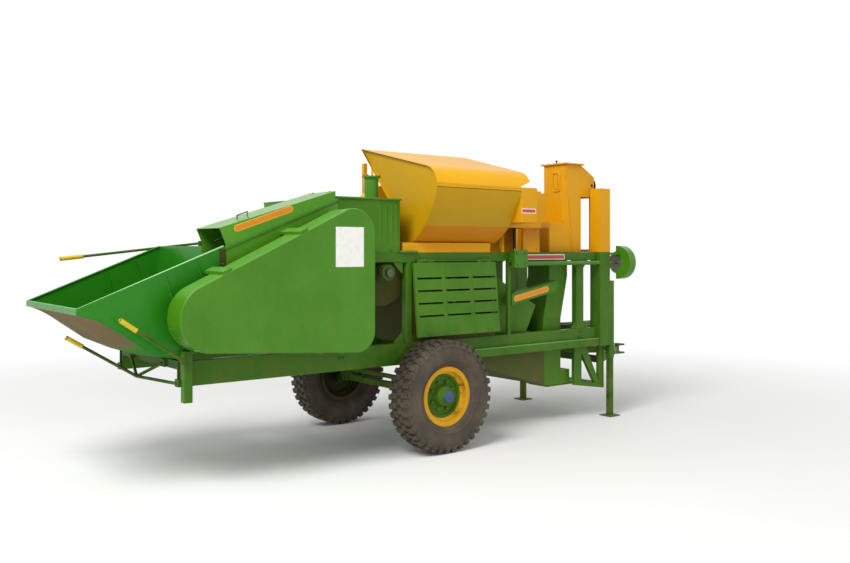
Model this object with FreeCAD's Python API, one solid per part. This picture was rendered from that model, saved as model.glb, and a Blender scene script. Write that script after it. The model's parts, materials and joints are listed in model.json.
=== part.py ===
import FreeCAD, Part
import math
import os

from FreeCAD import Vector

# Towed multicrop thresher. Millimetres. +X points forward to the hitch, +Y to the machine's left, +Z up.
# The working frame has its X origin near the axle. Every piece is shifted at the end, so that the
# finished model's origin lies on the ground below the middle of its length.

os.makedirs("parts", exist_ok=True)

# ---- overall sizes
LIP_X = -2640.0            # rear edge of the feed hopper
HITCH_X = 3250.0           # front edge of the hitch plates
BODY_HALF_W = 580.0        # outer faces of the chassis rails and body walls
SHEET = 4.0                # sheet-metal wall
SEAT = 0.3                 # gap where one piece rests on another body

# ---- running gear
AXLE_X = 115.0
TYRE_D = 890.0
TYRE_W = 240.0
WHEEL_GAP = 50.0           # between body side and tyre
RIM_BEAD_R = 203.0
RIM_FLANGE_R = 234.0
RIM_W = 156.0
BEAD_LIFT = 5.5            # rim's bead seat above its nominal radius
TYRE_WALL = 20.0
SPINDLE_R = 30.0
SHAFT_PLAY = 0.05          # radial clearance of every running fit
HUB_OUT = 100.0            # hub cap's end outside the tyre's middle plane
HUB_IN = 60.0              # hub's inner end inside the tyre's middle plane
CAP_T = 20.0
TRACK = 2.0 * (BODY_HALF_W + WHEEL_GAP) + TYRE_W

# ---- chassis
RAIL_BOTTOM = 690.0
RAIL_TOP = 860.0
RAIL_W = 60.0
RAIL_WALL = 6.0
RAIL_REAR = -1970.0
RAIL_FRONT = 2320.0
LEDGE_X = 600.0            # where the outer ledge of the rail starts
LEDGE_W = 30.0
LEDGE_TOP = 760.0
CROSS_H = 60.0
CROSS_X = (-1970.0, -1000.0, 250.0, 1300.0, 2260.0)
BEAM = 54.0                # axle beam, square
TIE_BAR = 36.0             # bar above the axle beam
TIE_GAP = 28.0

# ---- upper frame
DECK_Z = 1575.0            # top of the green frame, foot of the yellow housings
UPPER_RAIL_H = 75.0
UPPER_RAIL_REAR = -740.0
POST = 60.0
THIN_POST = 35.0
COLUMN_X = 2175.0
COLUMN_W = 145.0
COLUMN_D = 125.0
COLUMN_TOP = 2180.0
SUBFRAME_POST_X = 1888.0
SUBFRAME_POST_W = 100.0
SILL_H = 40.0
SILL_REAR_Z = 332.0        # underside of the sloping sill at the rear posts
SILL_DROP = 0.152          # fall of the sill over its run

# ---- legs
LEG = 60.0
LEG_WALL = 4.0
FRONT_SLEEVE_BOTTOM = 560.0
FRONT_SLEEVE_TOP = 1300.0
FOOT = 140.0
FOOT_T = 10.0
REAR_LEG_BOTTOM = 590.0
REAR_LEG_TOP = 930.0

# ---- feeding
FEED_SLOPE = 0.396         # rise over run of the hopper's and channel's top edge
LIP_TOP = 1234.0
HOPPER_BACK_X = -1650.0
CHANNEL_W = 380.0
CHANNEL_FLOOR_START = 930.0
CHANNEL_FLOOR_END = 1300.0
CASING_BACK_X = -740.0
LID_MOUTH_H = 120.0
LID_END_H = 59.0
LID_PIN_R = 6.0

# ---- belt guard
GUARD_INNER_Y = -BODY_HALF_W - 75.0
GUARD_OUTER_Y = GUARD_INNER_Y - 215.0
GUARD_NOSE_X = -1868.0
GUARD_NOSE_Z = 1155.0
GUARD_NOSE_R = 225.0
GUARD_FRONT_X = -600.0
GUARD_RISE = 0.471         # slope of the top edge
GUARD_FALL = 0.066         # slope of the lower edge
GUARD_TOP_CORNER_R = 180.0
GUARD_LOW_CORNER_R = 150.0
GUARD_STRAP = 22.0

# ---- threshing
DRUM_X = -300.0
DRUM_Z = 1420.0
DRUM_R = 230.0
CASING_R = 265.0
CASING_HALF_W = BODY_HALF_W - 80.0
DRUM_HALF_L = CASING_HALF_W - 30.0
CASING_FRONT_X = -163.0
CASING_TOP = 2000.0
DRUM_SHAFT_R = 30.0
DRUM_CLEAR = 15.0          # room round the drum where it passes through a wall

# ---- cleaning
FAN_BACK_X = -30.0
FAN_FRONT_X = 860.0
FAN_X = 400.0
FAN_Z = 1180.0
FAN_R = 230.0
FAN_SHAFT_R = 20.0
DOOR_BACK_X = -47.0
DOOR_FRONT_X = 835.0
DOOR_BOTTOM = 905.0
DOOR_TOP = 1495.0
DOOR_T = 24.0
DOOR_STAND = 60.0          # how far the foot of a door stands out
HINGE_OUT = 18.0           # door hinge line outside the upper rail
HINGE_Z = 1510.0
HINGE_PIN_R = 6.0
HINGE_BARREL_R = 10.0
HINGE_LUG = 30.0

# ---- yellow top
HOOD_BACK_X = -20.0
HOOD_FRONT_X = 887.0       # front end of the hood's face
HOOD_TOP_FRONT_X = 1170.0  # front end of the hood's ridge
HOOD_FRONT_SKEW = 0.16     # how far the roof's front edge runs back over its width
HOOD_STEP_Z = 2125.0       # where the front end starts to lean out over the raised box
HOOD_STEP_H = 112.0
SEP_BASE_TOP = 1655.0
HOOD_TIP = (176.0, 2469.0)
HOOD_FOOT = (-BODY_HALF_W + 36.0, SEP_BASE_TOP)
HOOD_PLATE_Y = -250.0      # inner edge of the upright plate below the hood's rear end
HOOD_PLATE_TOP = 1930.0
SEP_TOP = 2120.0
SEP_BOTTOM = 1790.0
SEP_WALL_Y = -450.0        # wall set back below the raised box

# ---- elevator
ELEV_W = 280.0
ELEV_Y0 = -BODY_HALF_W - 40.0 + COLUMN_D + 5.0
ELEV_Y1 = ELEV_Y0 + ELEV_W
LEG_X0 = 1620.0
LEG_X1 = 1860.0
TOWER_X0 = 1840.0
TOWER_X1 = 2050.0
TOWER_TOP = 2400.0
HEAD_X = 2238.0
HEAD_BOTTOM = 2100.0
HEAD_SHAFT_X = 2205.0
HEAD_SHAFT_Z = 2214.0
HEAD_SHAFT_R = 15.0
HEAD_PULLEY_R = 75.0

# ---- side drive
DRIVE_Y = -BODY_HALF_W - 21.0
DRIVE_Z = 1475.0
DRIVE_TUBE_R = 20.0
DRIVE_SHAFT_R = 16.0
DRIVE_BLOCK_X = 1015.0
DRIVE_BLOCK_L = 157.0
DRIVE_PULLEY_X = 2455.0
PULLEY_R = 110.0
GUARD_R = 160.0

# ---- front input
HITCH_PIN_R = 14.0
PTO_Z = 765.0
PTO_R = 17.45
PTO_BODY_R = 22.0

SHIFT = Vector(-(LIP_X + HITCH_X) / 2.0, 0.0, 0.0)


def box(x0, x1, y0, y1, z0, z1):
    """Block between two corners."""
    low = Vector(min(x0, x1), min(y0, y1), min(z0, z1))
    return Part.makeBox(abs(x1 - x0), abs(y1 - y0), abs(z1 - z0), low)


def prism(points, axis, start, end):
    """Straight prism. Points are (X, Z) for axis Y, (Y, Z) for axis X and (X, Y) for axis Z."""
    if axis == "Y":
        corners = [Vector(a, start, b) for a, b in points]
        along = Vector(0, end - start, 0)
    elif axis == "X":
        corners = [Vector(start, a, b) for a, b in points]
        along = Vector(end - start, 0, 0)
    else:
        corners = [Vector(a, b, start) for a, b in points]
        along = Vector(0, 0, end - start)
    wire = Part.makePolygon(corners + [corners[0]])
    return Part.Face(wire).extrude(along)


def rod(start, end, radius):
    """Round bar between two points."""
    a = Vector(*start)
    b = Vector(*end)
    return Part.makeCylinder(radius, (b - a).Length, a, b - a)


def tube_x(x0, x1, y0, y1, z0, z1, wall):
    """Rectangular tube along X."""
    low_y, high_y = sorted((y0, y1))
    hollow = box(x0 - 1, x1 + 1, low_y + wall, high_y - wall, z0 + wall, z1 - wall)
    return box(x0, x1, y0, y1, z0, z1).cut(hollow)


def tube_y(x0, x1, y0, y1, z0, z1, wall):
    """Rectangular tube along Y."""
    hollow = box(x0 + wall, x1 - wall, min(y0, y1) - 1, max(y0, y1) + 1, z0 + wall, z1 - wall)
    return box(x0, x1, y0, y1, z0, z1).cut(hollow)


def tube_z(x0, x1, y0, y1, z0, z1, wall):
    """Rectangular tube along Z."""
    low_y, high_y = sorted((y0, y1))
    hollow = box(x0 + wall, x1 - wall, low_y + wall, high_y - wall, z0 - 1, z1 + 1)
    return box(x0, x1, y0, y1, z0, z1).cut(hollow)


def ring(axis_point, direction, outer, inner, length):
    """Round sleeve."""
    base = Vector(*axis_point)
    along = Vector(*direction)
    return Part.makeCylinder(outer, length, base, along).cut(
        Part.makeCylinder(inner, length, base, along))


def fuse(shapes):
    """One shape from pieces that touch."""
    return shapes[0].multiFuse(shapes[1:]).removeSplitter()


def mirror_y(shape):
    """The same piece on the other side of the machine."""
    return shape.mirror(Vector(0, 0, 0), Vector(0, 1, 0))


def save(name, *solids):
    """Write one node, moved into the finished frame."""
    shape = solids[0] if len(solids) == 1 else Part.makeCompound(list(solids))
    shape = shape.copy()
    shape.translate(SHIFT)
    shape.exportStep("parts/" + name + ".step")
    size = shape.BoundBox
    print("%-24s %d solids  x %.0f..%.0f  y %.0f..%.0f  z %.0f..%.0f" % (
        name, len(shape.Solids), size.XMin, size.XMax, size.YMin, size.YMax, size.ZMin, size.ZMax))


def top_edge(x):
    """Height of the sloping top edge of hopper and channel."""
    return LIP_TOP + FEED_SLOPE * (x - LIP_X)


# ---------------------------------------------------------------- chassis

def chassis_rail():
    """Right rail: a box tube with an outer ledge along its front half."""
    outer = -BODY_HALF_W
    tube = tube_x(RAIL_REAR, RAIL_FRONT, outer, outer + RAIL_W, RAIL_BOTTOM, RAIL_TOP, RAIL_WALL)
    top = box(LEDGE_X, COLUMN_X, outer - LEDGE_W, outer, LEDGE_TOP - RAIL_WALL, LEDGE_TOP)
    web = box(LEDGE_X, COLUMN_X, outer - LEDGE_W, outer - LEDGE_W + RAIL_WALL, RAIL_BOTTOM, LEDGE_TOP)
    return fuse([tube, top, web])


def cross_members():
    """Square tubes between the rails, flush with their tops."""
    inner = BODY_HALF_W - RAIL_W
    bars = []
    for x in CROSS_X:
        bars.append(tube_y(x, x + CROSS_H, -inner, inner, RAIL_TOP - CROSS_H, RAIL_TOP, RAIL_WALL))
    return bars


def axle_beam():
    """Square beam with a tie bar, two hanger plates each side and round spindles."""
    centre = TYRE_D / 2.0
    half = BEAM / 2.0
    beam_end = BODY_HALF_W + WHEEL_GAP - 30.0
    low = centre - half
    high = centre + half
    pieces = [box(AXLE_X - half, AXLE_X + half, -beam_end, beam_end, low, high)]
    bar = TIE_BAR / 2.0
    bar_z = high + TIE_GAP
    inner = BODY_HALF_W - RAIL_W
    pieces.append(box(AXLE_X - bar, AXLE_X + bar, -BODY_HALF_W + 8, BODY_HALF_W - 8, bar_z, bar_z + TIE_BAR))
    hanger = [(AXLE_X - 150, RAIL_BOTTOM), (AXLE_X + 150, RAIL_BOTTOM), (AXLE_X + 60, low), (AXLE_X - 60, low)]
    for side in (-1, 1):
        for y in (inner + 4, BODY_HALF_W - 14):
            plate = prism(hanger, "Y", side * y, side * (y + 10))
            pieces.append(plate)
        spindle_end = side * (TRACK / 2.0 + HUB_OUT - CAP_T - 10.0)
        pieces.append(rod((AXLE_X, side * beam_end, centre), (AXLE_X, spindle_end, centre), SPINDLE_R))
    return fuse(pieces)


def front_subframe():
    """Posts, sills and braces that carry the elevator foot and the drawbar."""
    outer = BODY_HALF_W - 25.0
    x0 = SUBFRAME_POST_X
    x1 = x0 + SUBFRAME_POST_W
    front = COLUMN_X + 60.0
    end = front + 70.0
    end_z = SILL_REAR_Z - SILL_DROP * (end - x0)
    in_sill = end_z + SILL_H - 12.0
    frames = []
    for side in (-1, 1):
        y0 = side * outer
        y1 = side * (outer - 36.0)
        post = box(x0, x1, y0, y1, SILL_REAR_Z + 8, RAIL_BOTTOM)
        front_post = box(front, end, y0, y1, in_sill, RAIL_BOTTOM)
        sill = prism([(x0, SILL_REAR_Z), (end, end_z), (end, end_z + SILL_H), (x0, SILL_REAR_Z + SILL_H)],
                     "Y", y0, y1)
        brace = prism([(x1 - 20, RAIL_BOTTOM), (x1 + 60, RAIL_BOTTOM), (front + 20, in_sill),
                       (front - 40, in_sill), (x1 - 20, RAIL_BOTTOM - 30)], "Y", y0, y1)
        frames.append(fuse([post, front_post, sill, brace]))
    inner = outer - 36.0
    tie = box(front, end, -inner, inner, end_z + 12, end_z + 12 + SILL_H)
    return fuse(frames + [tie])


def drawbar():
    """A-frame of two tubes that meet at the hitch plates."""
    bar_z0 = 500.0
    bar_z1 = 570.0
    root_x = COLUMN_X + 130.0
    eye_x = HITCH_X - 70.0
    tip = 45.0
    spread = BODY_HALF_W - 61.0
    arms = []
    for side in (-1, 1):
        arms.append(prism([(root_x, side * spread), (root_x, side * (spread - 74.0)),
                           (eye_x - 120, side * 12.0), (eye_x - 40, side * tip)], "Z", bar_z0, bar_z1))
    nose = box(eye_x - 160, eye_x - 20, -tip, tip, bar_z0, bar_z1)
    plates = [box(eye_x - 60, HITCH_X, -tip, tip, bar_z1, bar_z1 + 16),
              box(eye_x - 60, HITCH_X, -tip, tip, bar_z0 - 16, bar_z0)]
    body = fuse(arms + [nose] + plates)
    pin_hole = Part.makeCylinder(HITCH_PIN_R, 200, Vector(HITCH_X - 35.0, 0, bar_z0 - 50))
    cross = tube_y(root_x, root_x + 15, -spread, spread, bar_z0, bar_z1, 5)
    body = body.cut(pin_hole)
    return fuse([body, cross])


def pto_guard():
    """Half-round cover over the input shaft, open below."""
    outer = 95.0
    x0 = RAIL_FRONT
    x1 = 2860.0
    arch = Part.makeCylinder(outer, x1 - x0, Vector(x0, 0, PTO_Z), Vector(1, 0, 0)).cut(
        Part.makeCylinder(outer - SHEET, x1 - x0, Vector(x0, 0, PTO_Z), Vector(1, 0, 0)))
    arch = arch.cut(box(x0 - 1, x1 + 1, -outer - 1, outer + 1, PTO_Z - outer - 1, PTO_Z))
    skirts = [box(x0, x1, side * outer, side * (outer - SHEET), PTO_Z - 60, PTO_Z) for side in (-1, 1)]
    return fuse([arch] + skirts)


# ---------------------------------------------------------------- upper frame

def upper_rail():
    """Right upper rail."""
    rail = tube_x(UPPER_RAIL_REAR, COLUMN_X, -BODY_HALF_W, -BODY_HALF_W + RAIL_W,
                  DECK_Z - UPPER_RAIL_H, DECK_Z, LEG_WALL)
    y_pin = -BODY_HALF_W - HINGE_OUT
    lugs = []
    for x in (DOOR_BACK_X + 110, DOOR_FRONT_X - 110 - HINGE_LUG):
        lug = box(x, x + HINGE_LUG, y_pin - HINGE_BARREL_R, -BODY_HALF_W, HINGE_Z - HINGE_BARREL_R, HINGE_Z + 14)
        lugs.append(lug.cut(rod((x - 1, y_pin, HINGE_Z), (x + HINGE_LUG + 1, y_pin, HINGE_Z),
                                HINGE_PIN_R + SHAFT_PLAY)))
    return fuse([rail] + lugs)


def deck_cross_members():
    """Upper cross tubes that hold the elevator and tie the upper rails."""
    inner = BODY_HALF_W - RAIL_W
    bars = []
    for x in (LEG_X0 - 40.0, LEG_X1, COLUMN_X - 40.0):
        bars.append(tube_y(x, x + 40, -inner, inner, DECK_Z - UPPER_RAIL_H, DECK_Z - SHEET, LEG_WALL))
    return bars


def side_posts():
    """Posts between chassis rail and upper rail, on both sides."""
    z1 = DECK_Z - UPPER_RAIL_H
    posts = []
    for side in (-1, 1):
        y0 = side * BODY_HALF_W
        y1 = side * (BODY_HALF_W - POST)
        thin = side * (BODY_HALF_W - THIN_POST)
        posts.append(tube_z(-740.0, -680.0, y0, y1, RAIL_TOP, z1, LEG_WALL))
        posts.append(tube_z(FAN_BACK_X - POST - 12, FAN_BACK_X - 12, y0, y1, RAIL_TOP, z1, LEG_WALL))
        posts.append(tube_z(1010.0, 1010.0 + THIN_POST, y0, thin, RAIL_TOP, z1, LEG_WALL))
        posts.append(tube_z(SUBFRAME_POST_X, SUBFRAME_POST_X + SUBFRAME_POST_W, y0, y1, RAIL_TOP, z1, LEG_WALL))
    return posts


def front_column():
    """Right front corner column, from the subframe to the top of the yellow bulkhead."""
    outer = -BODY_HALF_W - 40.0
    tall = tube_z(COLUMN_X, COLUMN_X + COLUMN_W, outer, outer + COLUMN_D, RAIL_BOTTOM - 5, DECK_Z, LEG_WALL)
    rail_room = box(RAIL_REAR, RAIL_FRONT, -BODY_HALF_W, outer + COLUMN_D + 1, RAIL_BOTTOM - 6, RAIL_TOP)
    shaft_room = rod((COLUMN_X - 1, DRIVE_Y, DRIVE_Z), (COLUMN_X + COLUMN_W + 1, DRIVE_Y, DRIVE_Z),
                     DRIVE_SHAFT_R + SHAFT_PLAY)
    return tall.cut(rail_room).cut(shaft_room)


def drop_legs():
    """Front legs let down to the ground, each with its foot."""
    inner = LEG - 2 * LEG_WALL - 2 * SEAT
    legs = []
    for side in (-1, 1):
        cx = RAIL_FRONT + LEG / 2.0
        cy = side * (BODY_HALF_W + 10.0)
        half = inner / 2.0
        tube = tube_z(cx - half, cx + half, cy - half, cy + half, FOOT_T, FRONT_SLEEVE_TOP - 60, LEG_WALL)
        foot = box(cx - FOOT / 2, cx + FOOT / 2, cy - FOOT / 2, cy + FOOT / 2, 0, FOOT_T)
        legs.append(fuse([tube, foot]))
    return legs


def leg_sleeves():
    """Square sleeves of the front legs, on the front faces of the columns."""
    sleeves = []
    for side in (-1, 1):
        cy = side * (BODY_HALF_W + 10.0)
        sleeves.append(tube_z(RAIL_FRONT, RAIL_FRONT + LEG, cy - LEG / 2, cy + LEG / 2,
                              FRONT_SLEEVE_BOTTOM, FRONT_SLEEVE_TOP, LEG_WALL))
    return sleeves


def rear_leg():
    """Short rear leg, drawn up beside the right rail."""
    y0 = -BODY_HALF_W
    return tube_z(RAIL_REAR, RAIL_REAR + LEG, y0 - LEG, y0, REAR_LEG_BOTTOM, REAR_LEG_TOP, LEG_WALL)


# ---------------------------------------------------------------- wheels

def revolve_y(points, centre_y):
    """Ring about the axle line from (radius, offset along Y) points."""
    axle_z = TYRE_D / 2.0
    corners = [Vector(AXLE_X + r, centre_y + y, axle_z) for r, y in points]
    face = Part.Face(Part.makePolygon(corners + [corners[0]]))
    return face.revolve(Vector(AXLE_X, 0, axle_z), Vector(0, 1, 0), 360)


def tyre(centre_y):
    """Carcass with an open bead side."""
    r = TYRE_D / 2.0
    w = TYRE_W / 2.0
    bead = RIM_BEAD_R + BEAD_LIFT + 0.5
    t = TYRE_WALL
    seat = RIM_W / 2.0 - 12.0
    outside = [(bead, seat), (RIM_FLANGE_R + 4, seat), (RIM_FLANGE_R + 16, w * 0.84), (bead + 75, w * 0.96),
               (bead + 120, w), (r - 62, w), (r - 34, w * 0.98), (r - 10, w * 0.90), (r, w * 0.78)]
    inside = [(bead, seat - t), (RIM_FLANGE_R + 14, seat - t), (bead + 80, w * 0.95 - t), (bead + 120, w - t),
              (r - 70, w * 0.90 - t), (r - 40, w * 0.60)]
    right = outside + [(a, -b) for a, b in reversed(outside)]
    left = [(a, -b) for a, b in inside] + list(reversed(inside))
    return revolve_y(right + left, centre_y)


def rim(centre_y):
    """Drop-centre rim with rounded flanges."""
    w = RIM_W / 2.0
    b = RIM_BEAD_R
    outside = [(RIM_FLANGE_R, w), (RIM_FLANGE_R, w - 9), (b + BEAD_LIFT, w - 10), (b + BEAD_LIFT, w - 40), (b - 22, w - 52)]
    inside = [(b - 28, w - 50), (b - 4, w - 34), (b - 4, w)]
    loop = outside + [(a, -y) for a, y in reversed(outside)]
    back = [(a, -y) for a, y in reversed(inside)]
    return revolve_y(loop + back + inside, centre_y)


def wheel_disc(centre_y, side):
    """Dished disc with its hub and cap, bored for the spindle."""
    axle_z = TYRE_D / 2.0
    inner_r = RIM_BEAD_R - 28.0
    profile = [(inner_r, 24), (inner_r - 20, 24), (150, 8), (90, 8), (78, 30), (78, 62), (48, 70), (48, HUB_OUT - 18),
               (40, HUB_OUT), (0, HUB_OUT), (0, -HUB_IN), (62, -HUB_IN), (62, -4), (146, -4),
               (inner_r - 24, 14), (inner_r, 14)]
    # offsets run outwards from the middle of the tyre
    solid = revolve_y([(a, side * y) for a, y in profile], centre_y)
    bore = Part.makeCylinder(SPINDLE_R + SHAFT_PLAY, HUB_IN + HUB_OUT - CAP_T,
                             Vector(AXLE_X, centre_y - side * HUB_IN, axle_z), Vector(0, side, 0))
    return solid.cut(bore)


# ---------------------------------------------------------------- feeding

HOPPER_STATIONS = (
    # X, shoulder Z, seam's distance inside the body's side, seam Z, floor's distance inside, floor Z
    (LIP_X, 1198.0, 20.0, 1196.0, 330.0, 1194.0),
    (LIP_X + 150.0, 1162.0, 20.0, 1150.0, 330.0, 1085.0),
    (LIP_X + 300.0, 1067.0, 25.0, 1050.0, 330.0, 975.0),
    (LIP_X + 490.0, 940.0, 40.0, 915.0, 330.0, 890.0),
    (RAIL_REAR, 895.0, 80.0, RAIL_TOP + 10.0, 280.0, RAIL_TOP),
    (RAIL_REAR + 70.0, 900.0, 80.0, RAIL_TOP + 10.0, 280.0, RAIL_TOP),
    (HOPPER_BACK_X, 990.0, 80.0, 935.0, 280.0, 930.0),
)


def hopper_loft(inset, lift):
    """Solid inside the hopper's skin, shrunk by inset and raised past its top edge by lift."""
    wires = []
    w = BODY_HALF_W
    for x, shoulder, seam_in, seam_z, floor_in, floor_z in HOPPER_STATIONS:
        top = top_edge(x) + lift
        half = [(w - inset, top), (w - inset, shoulder + inset),
                (w - seam_in - inset, seam_z + inset), (w - floor_in, floor_z + inset)]
        loop = half + [(-y, z) for y, z in reversed(half)]
        corners = [Vector(x, y, z) for y, z in loop]
        wires.append(Part.makePolygon(corners + [corners[0]]))
    return Part.makeLoft(wires, True, True)


def feed_hopper():
    """Scoop with a flat lip and a back wall that leaves the channel's mouth open."""
    skin = hopper_loft(0.0, 0.0).cut(hopper_loft(SHEET, 40.0))
    lip = box(LIP_X, LIP_X + SHEET, -BODY_HALF_W, BODY_HALF_W, 1194.0, LIP_TOP)
    x, shoulder, seam_in, seam_z, floor_in, floor_z = HOPPER_STATIONS[-1]
    top = top_edge(x)
    w = BODY_HALF_W
    half = [(w, top), (w, shoulder), (w - seam_in, seam_z), (w - floor_in, floor_z)]
    wall = prism(half + [(-y, z) for y, z in reversed(half)], "X", x - SHEET, x)
    mouth = box(x - 10, x + 10, -BODY_HALF_W + SHEET, -BODY_HALF_W + CHANNEL_W, floor_z + 30, top + 10)
    return fuse([skin, lip, wall.cut(mouth)])


def feed_channel():
    """Narrow trough from the hopper's back wall up to the drum casing."""
    x0 = HOPPER_BACK_X
    x1 = CASING_BACK_X
    y0 = -BODY_HALF_W
    y1 = y0 + CHANNEL_W
    outline = [(x0, CHANNEL_FLOOR_START), (x1, CHANNEL_FLOOR_END), (x1, top_edge(x1)), (x0, top_edge(x0))]
    room = [(x0 - 1, CHANNEL_FLOOR_START + SHEET), (x1 + 1, CHANNEL_FLOOR_END + SHEET),
            (x1 + 1, top_edge(x1) + 50), (x0 - 1, top_edge(x0) + 50)]
    return prism(outline, "Y", y0, y1).cut(prism(room, "Y", y0 + SHEET, y1 - SHEET))


def feed_conveyor():
    """Apron of the feed chain with its end shafts, inside the channel."""
    y0 = -BODY_HALF_W + SHEET
    y1 = y0 + CHANNEL_W - 2 * SHEET
    r = 42.0
    x0 = HOPPER_BACK_X + 60.0
    x1 = CASING_BACK_X - 80.0
    lift = 60.0
    slope = (CHANNEL_FLOOR_END - CHANNEL_FLOOR_START) / (CASING_BACK_X - HOPPER_BACK_X)
    z0 = CHANNEL_FLOOR_START + slope * (x0 - HOPPER_BACK_X) + lift
    z1 = CHANNEL_FLOOR_START + slope * (x1 - HOPPER_BACK_X) + lift
    length = math.hypot(x1 - x0, z1 - z0)
    nx = -(z1 - z0) / length * r
    nz = (x1 - x0) / length * r
    belt = prism([(x0 + nx, z0 + nz), (x1 + nx, z1 + nz), (x1 - nx, z1 - nz), (x0 - nx, z0 - nz)],
                 "Y", y0 + 12, y1 - 12)
    shrink = (r - SHEET) / r
    inside = prism([(x0 + nx * shrink, z0 + nz * shrink), (x1 + nx * shrink, z1 + nz * shrink),
                    (x1 - nx * shrink, z1 - nz * shrink), (x0 - nx * shrink, z0 - nz * shrink)],
                   "Y", y0 + 12, y1 - 12)
    ends = []
    for x, z in ((x0, z0), (x1, z1)):
        ends.append(ring((x, y0 + 12, z), (0, 1, 0), r, r - SHEET, y1 - y0 - 24))
        inside = inside.fuse(rod((x, y0 + 12, z), (x, y1 - 12, z), r - SHEET))
    skin = fuse([belt] + ends).cut(inside)
    shafts = []
    for x, z in ((x0, z0), (x1, z1)):
        shafts.append(rod((x, y0, z), (x, y1, z), 16.0))
        for y in (y0 + 12, y1 - 24):
            shafts.append(rod((x, y, z), (x, y + 12, z), r - SHEET))
    return fuse([skin] + shafts)


def lid_pivot():
    """Hinge line of the feeder lid, on the top rear edge of the casing cover."""
    return CASING_BACK_X - 8.0, CASING_TOP + 14.0


def lid_lug_spans():
    """Y ranges of the two lugs that carry the lid's pin."""
    y0 = -BODY_HALF_W
    y1 = y0 + CHANNEL_W
    return (y0 + 80, y0 + 96), (y1 - 104, y1 - 88)


def feeder_lid():
    """Inverted trough that closes the channel, with its hinge pin and ears."""
    y0 = -BODY_HALF_W
    y1 = y0 + CHANNEL_W
    x0 = HOPPER_BACK_X + 6.0
    x1 = CASING_BACK_X - 22.0
    z0 = top_edge(x0) + SEAT
    z1 = top_edge(x1) + SEAT
    outline = [(x0, z0), (x1, z1), (x1, z1 + LID_END_H), (x0 - 50, z0 + LID_MOUTH_H)]
    room = [(x0 - 60, z0 - 60), (x1 - SHEET, z1 - 60), (x1 - SHEET, z1 + LID_END_H - SHEET),
            (x0 - 60, z0 + LID_MOUTH_H - SHEET - 4)]
    shell = prism(outline, "Y", y0, y1).cut(prism(room, "Y", y0 + SHEET, y1 - SHEET))
    for lug0, lug1 in lid_lug_spans():
        shell = shell.cut(box(x1 - 30, x1 + 5, lug0 - 6, lug1 + 6, z1 + 10, z1 + LID_END_H + 5))
    px, pz = lid_pivot()
    pin = rod((px, y0 + 30, pz), (px, y1 - 30, pz), LID_PIN_R)
    ears = []
    for y in (y0 + 60, y1 - 72):
        ear = prism([(x1 - 60, z1 + LID_END_H - 32), (x1 - 2, z1 + LID_END_H - 20), (px - 8, pz - 8),
                     (px + 8, pz - 7), (px + 8, pz + 8), (px - 8, pz + 10), (x1 - 2, z1 + LID_END_H + 4),
                     (x1 - 60, z1 + LID_END_H - 20)], "Y", y, y + 12)
        ears.append(ear)
    return fuse([shell, pin] + ears)


def guard_top(x):
    """Height of the guard's top edge."""
    return GUARD_NOSE_Z + GUARD_RISE * (x - GUARD_NOSE_X) + GUARD_NOSE_R * math.hypot(1.0, GUARD_RISE)


def guard_low(x):
    """Height of the guard's lower edge."""
    return GUARD_NOSE_Z - GUARD_FALL * (x - GUARD_NOSE_X) - GUARD_NOSE_R * math.hypot(1.0, GUARD_FALL)


def corner_arc(before, corner, after, radius):
    """Arc that rounds a corner, with the two points where it meets the straight edges."""
    into = (before - corner).normalize()
    out = (after - corner).normalize()
    half = into.getAngle(out) / 2.0
    run = radius / math.tan(half)
    start = corner + into * run
    end = corner + out * run
    bisector = (into + out).normalize()
    mid = corner + bisector * (radius / math.sin(half) - radius)
    return Part.Arc(start, mid, end).toShape(), start, end


def belt_guard():
    """Sheet cover over the feed drive on the right side, closed outside and open towards the channel."""
    nose = Vector(GUARD_NOSE_X, 0, GUARD_NOSE_Z)
    nose_top = nose + Vector(-GUARD_RISE, 0, 1).normalize() * GUARD_NOSE_R
    nose_low = nose - Vector(GUARD_FALL, 0, 1).normalize() * GUARD_NOSE_R
    nose_end = nose - Vector(GUARD_NOSE_R, 0, 0)
    top_corner = Vector(GUARD_FRONT_X, 0, guard_top(GUARD_FRONT_X))
    low_corner = Vector(GUARD_FRONT_X, 0, guard_low(GUARD_FRONT_X))
    low_arc, low_start, low_end = corner_arc(nose_low, low_corner, top_corner, GUARD_LOW_CORNER_R)
    top_arc, top_start, top_end = corner_arc(low_corner, top_corner, nose_top, GUARD_TOP_CORNER_R)
    edges = [Part.Arc(nose_top, nose_end, nose_low).toShape(),
             Part.makeLine(nose_low, low_start), low_arc,
             Part.makeLine(low_end, top_start), top_arc,
             Part.makeLine(top_end, nose_top)]
    depth = Vector(0, GUARD_INNER_Y - GUARD_OUTER_Y, 0)
    outer = Part.Face(Part.Wire(edges)).extrude(depth)
    outer.translate(Vector(0, GUARD_OUTER_Y, 0))
    inner = Part.Face(Part.Wire(edges).makeOffset2D(-SHEET)).extrude(depth)
    inner.translate(Vector(0, GUARD_OUTER_Y + SHEET, 0))
    return outer.cut(inner)


def guard_brackets():
    """Straps that carry the belt guard from the channel wall and the rail."""
    bars = []
    for x in (-1800.0, -1230.0):
        strap = [(x, guard_top(x)), (x + 60, guard_top(x + 60)),
                 (x + 60, guard_top(x + 60) + GUARD_STRAP), (x, guard_top(x) + GUARD_STRAP)]
        bars.append(prism(strap, "Y", GUARD_OUTER_Y + 5, -BODY_HALF_W))
    for x in (-1000.0, -820.0):
        strap = [(x, guard_low(x) - GUARD_STRAP), (x + 60, guard_low(x + 60) - GUARD_STRAP),
                 (x + 60, guard_low(x + 60)), (x, guard_low(x))]
        bars.append(prism(strap, "Y", GUARD_INNER_Y - 40, -BODY_HALF_W))
    return bars


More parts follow.
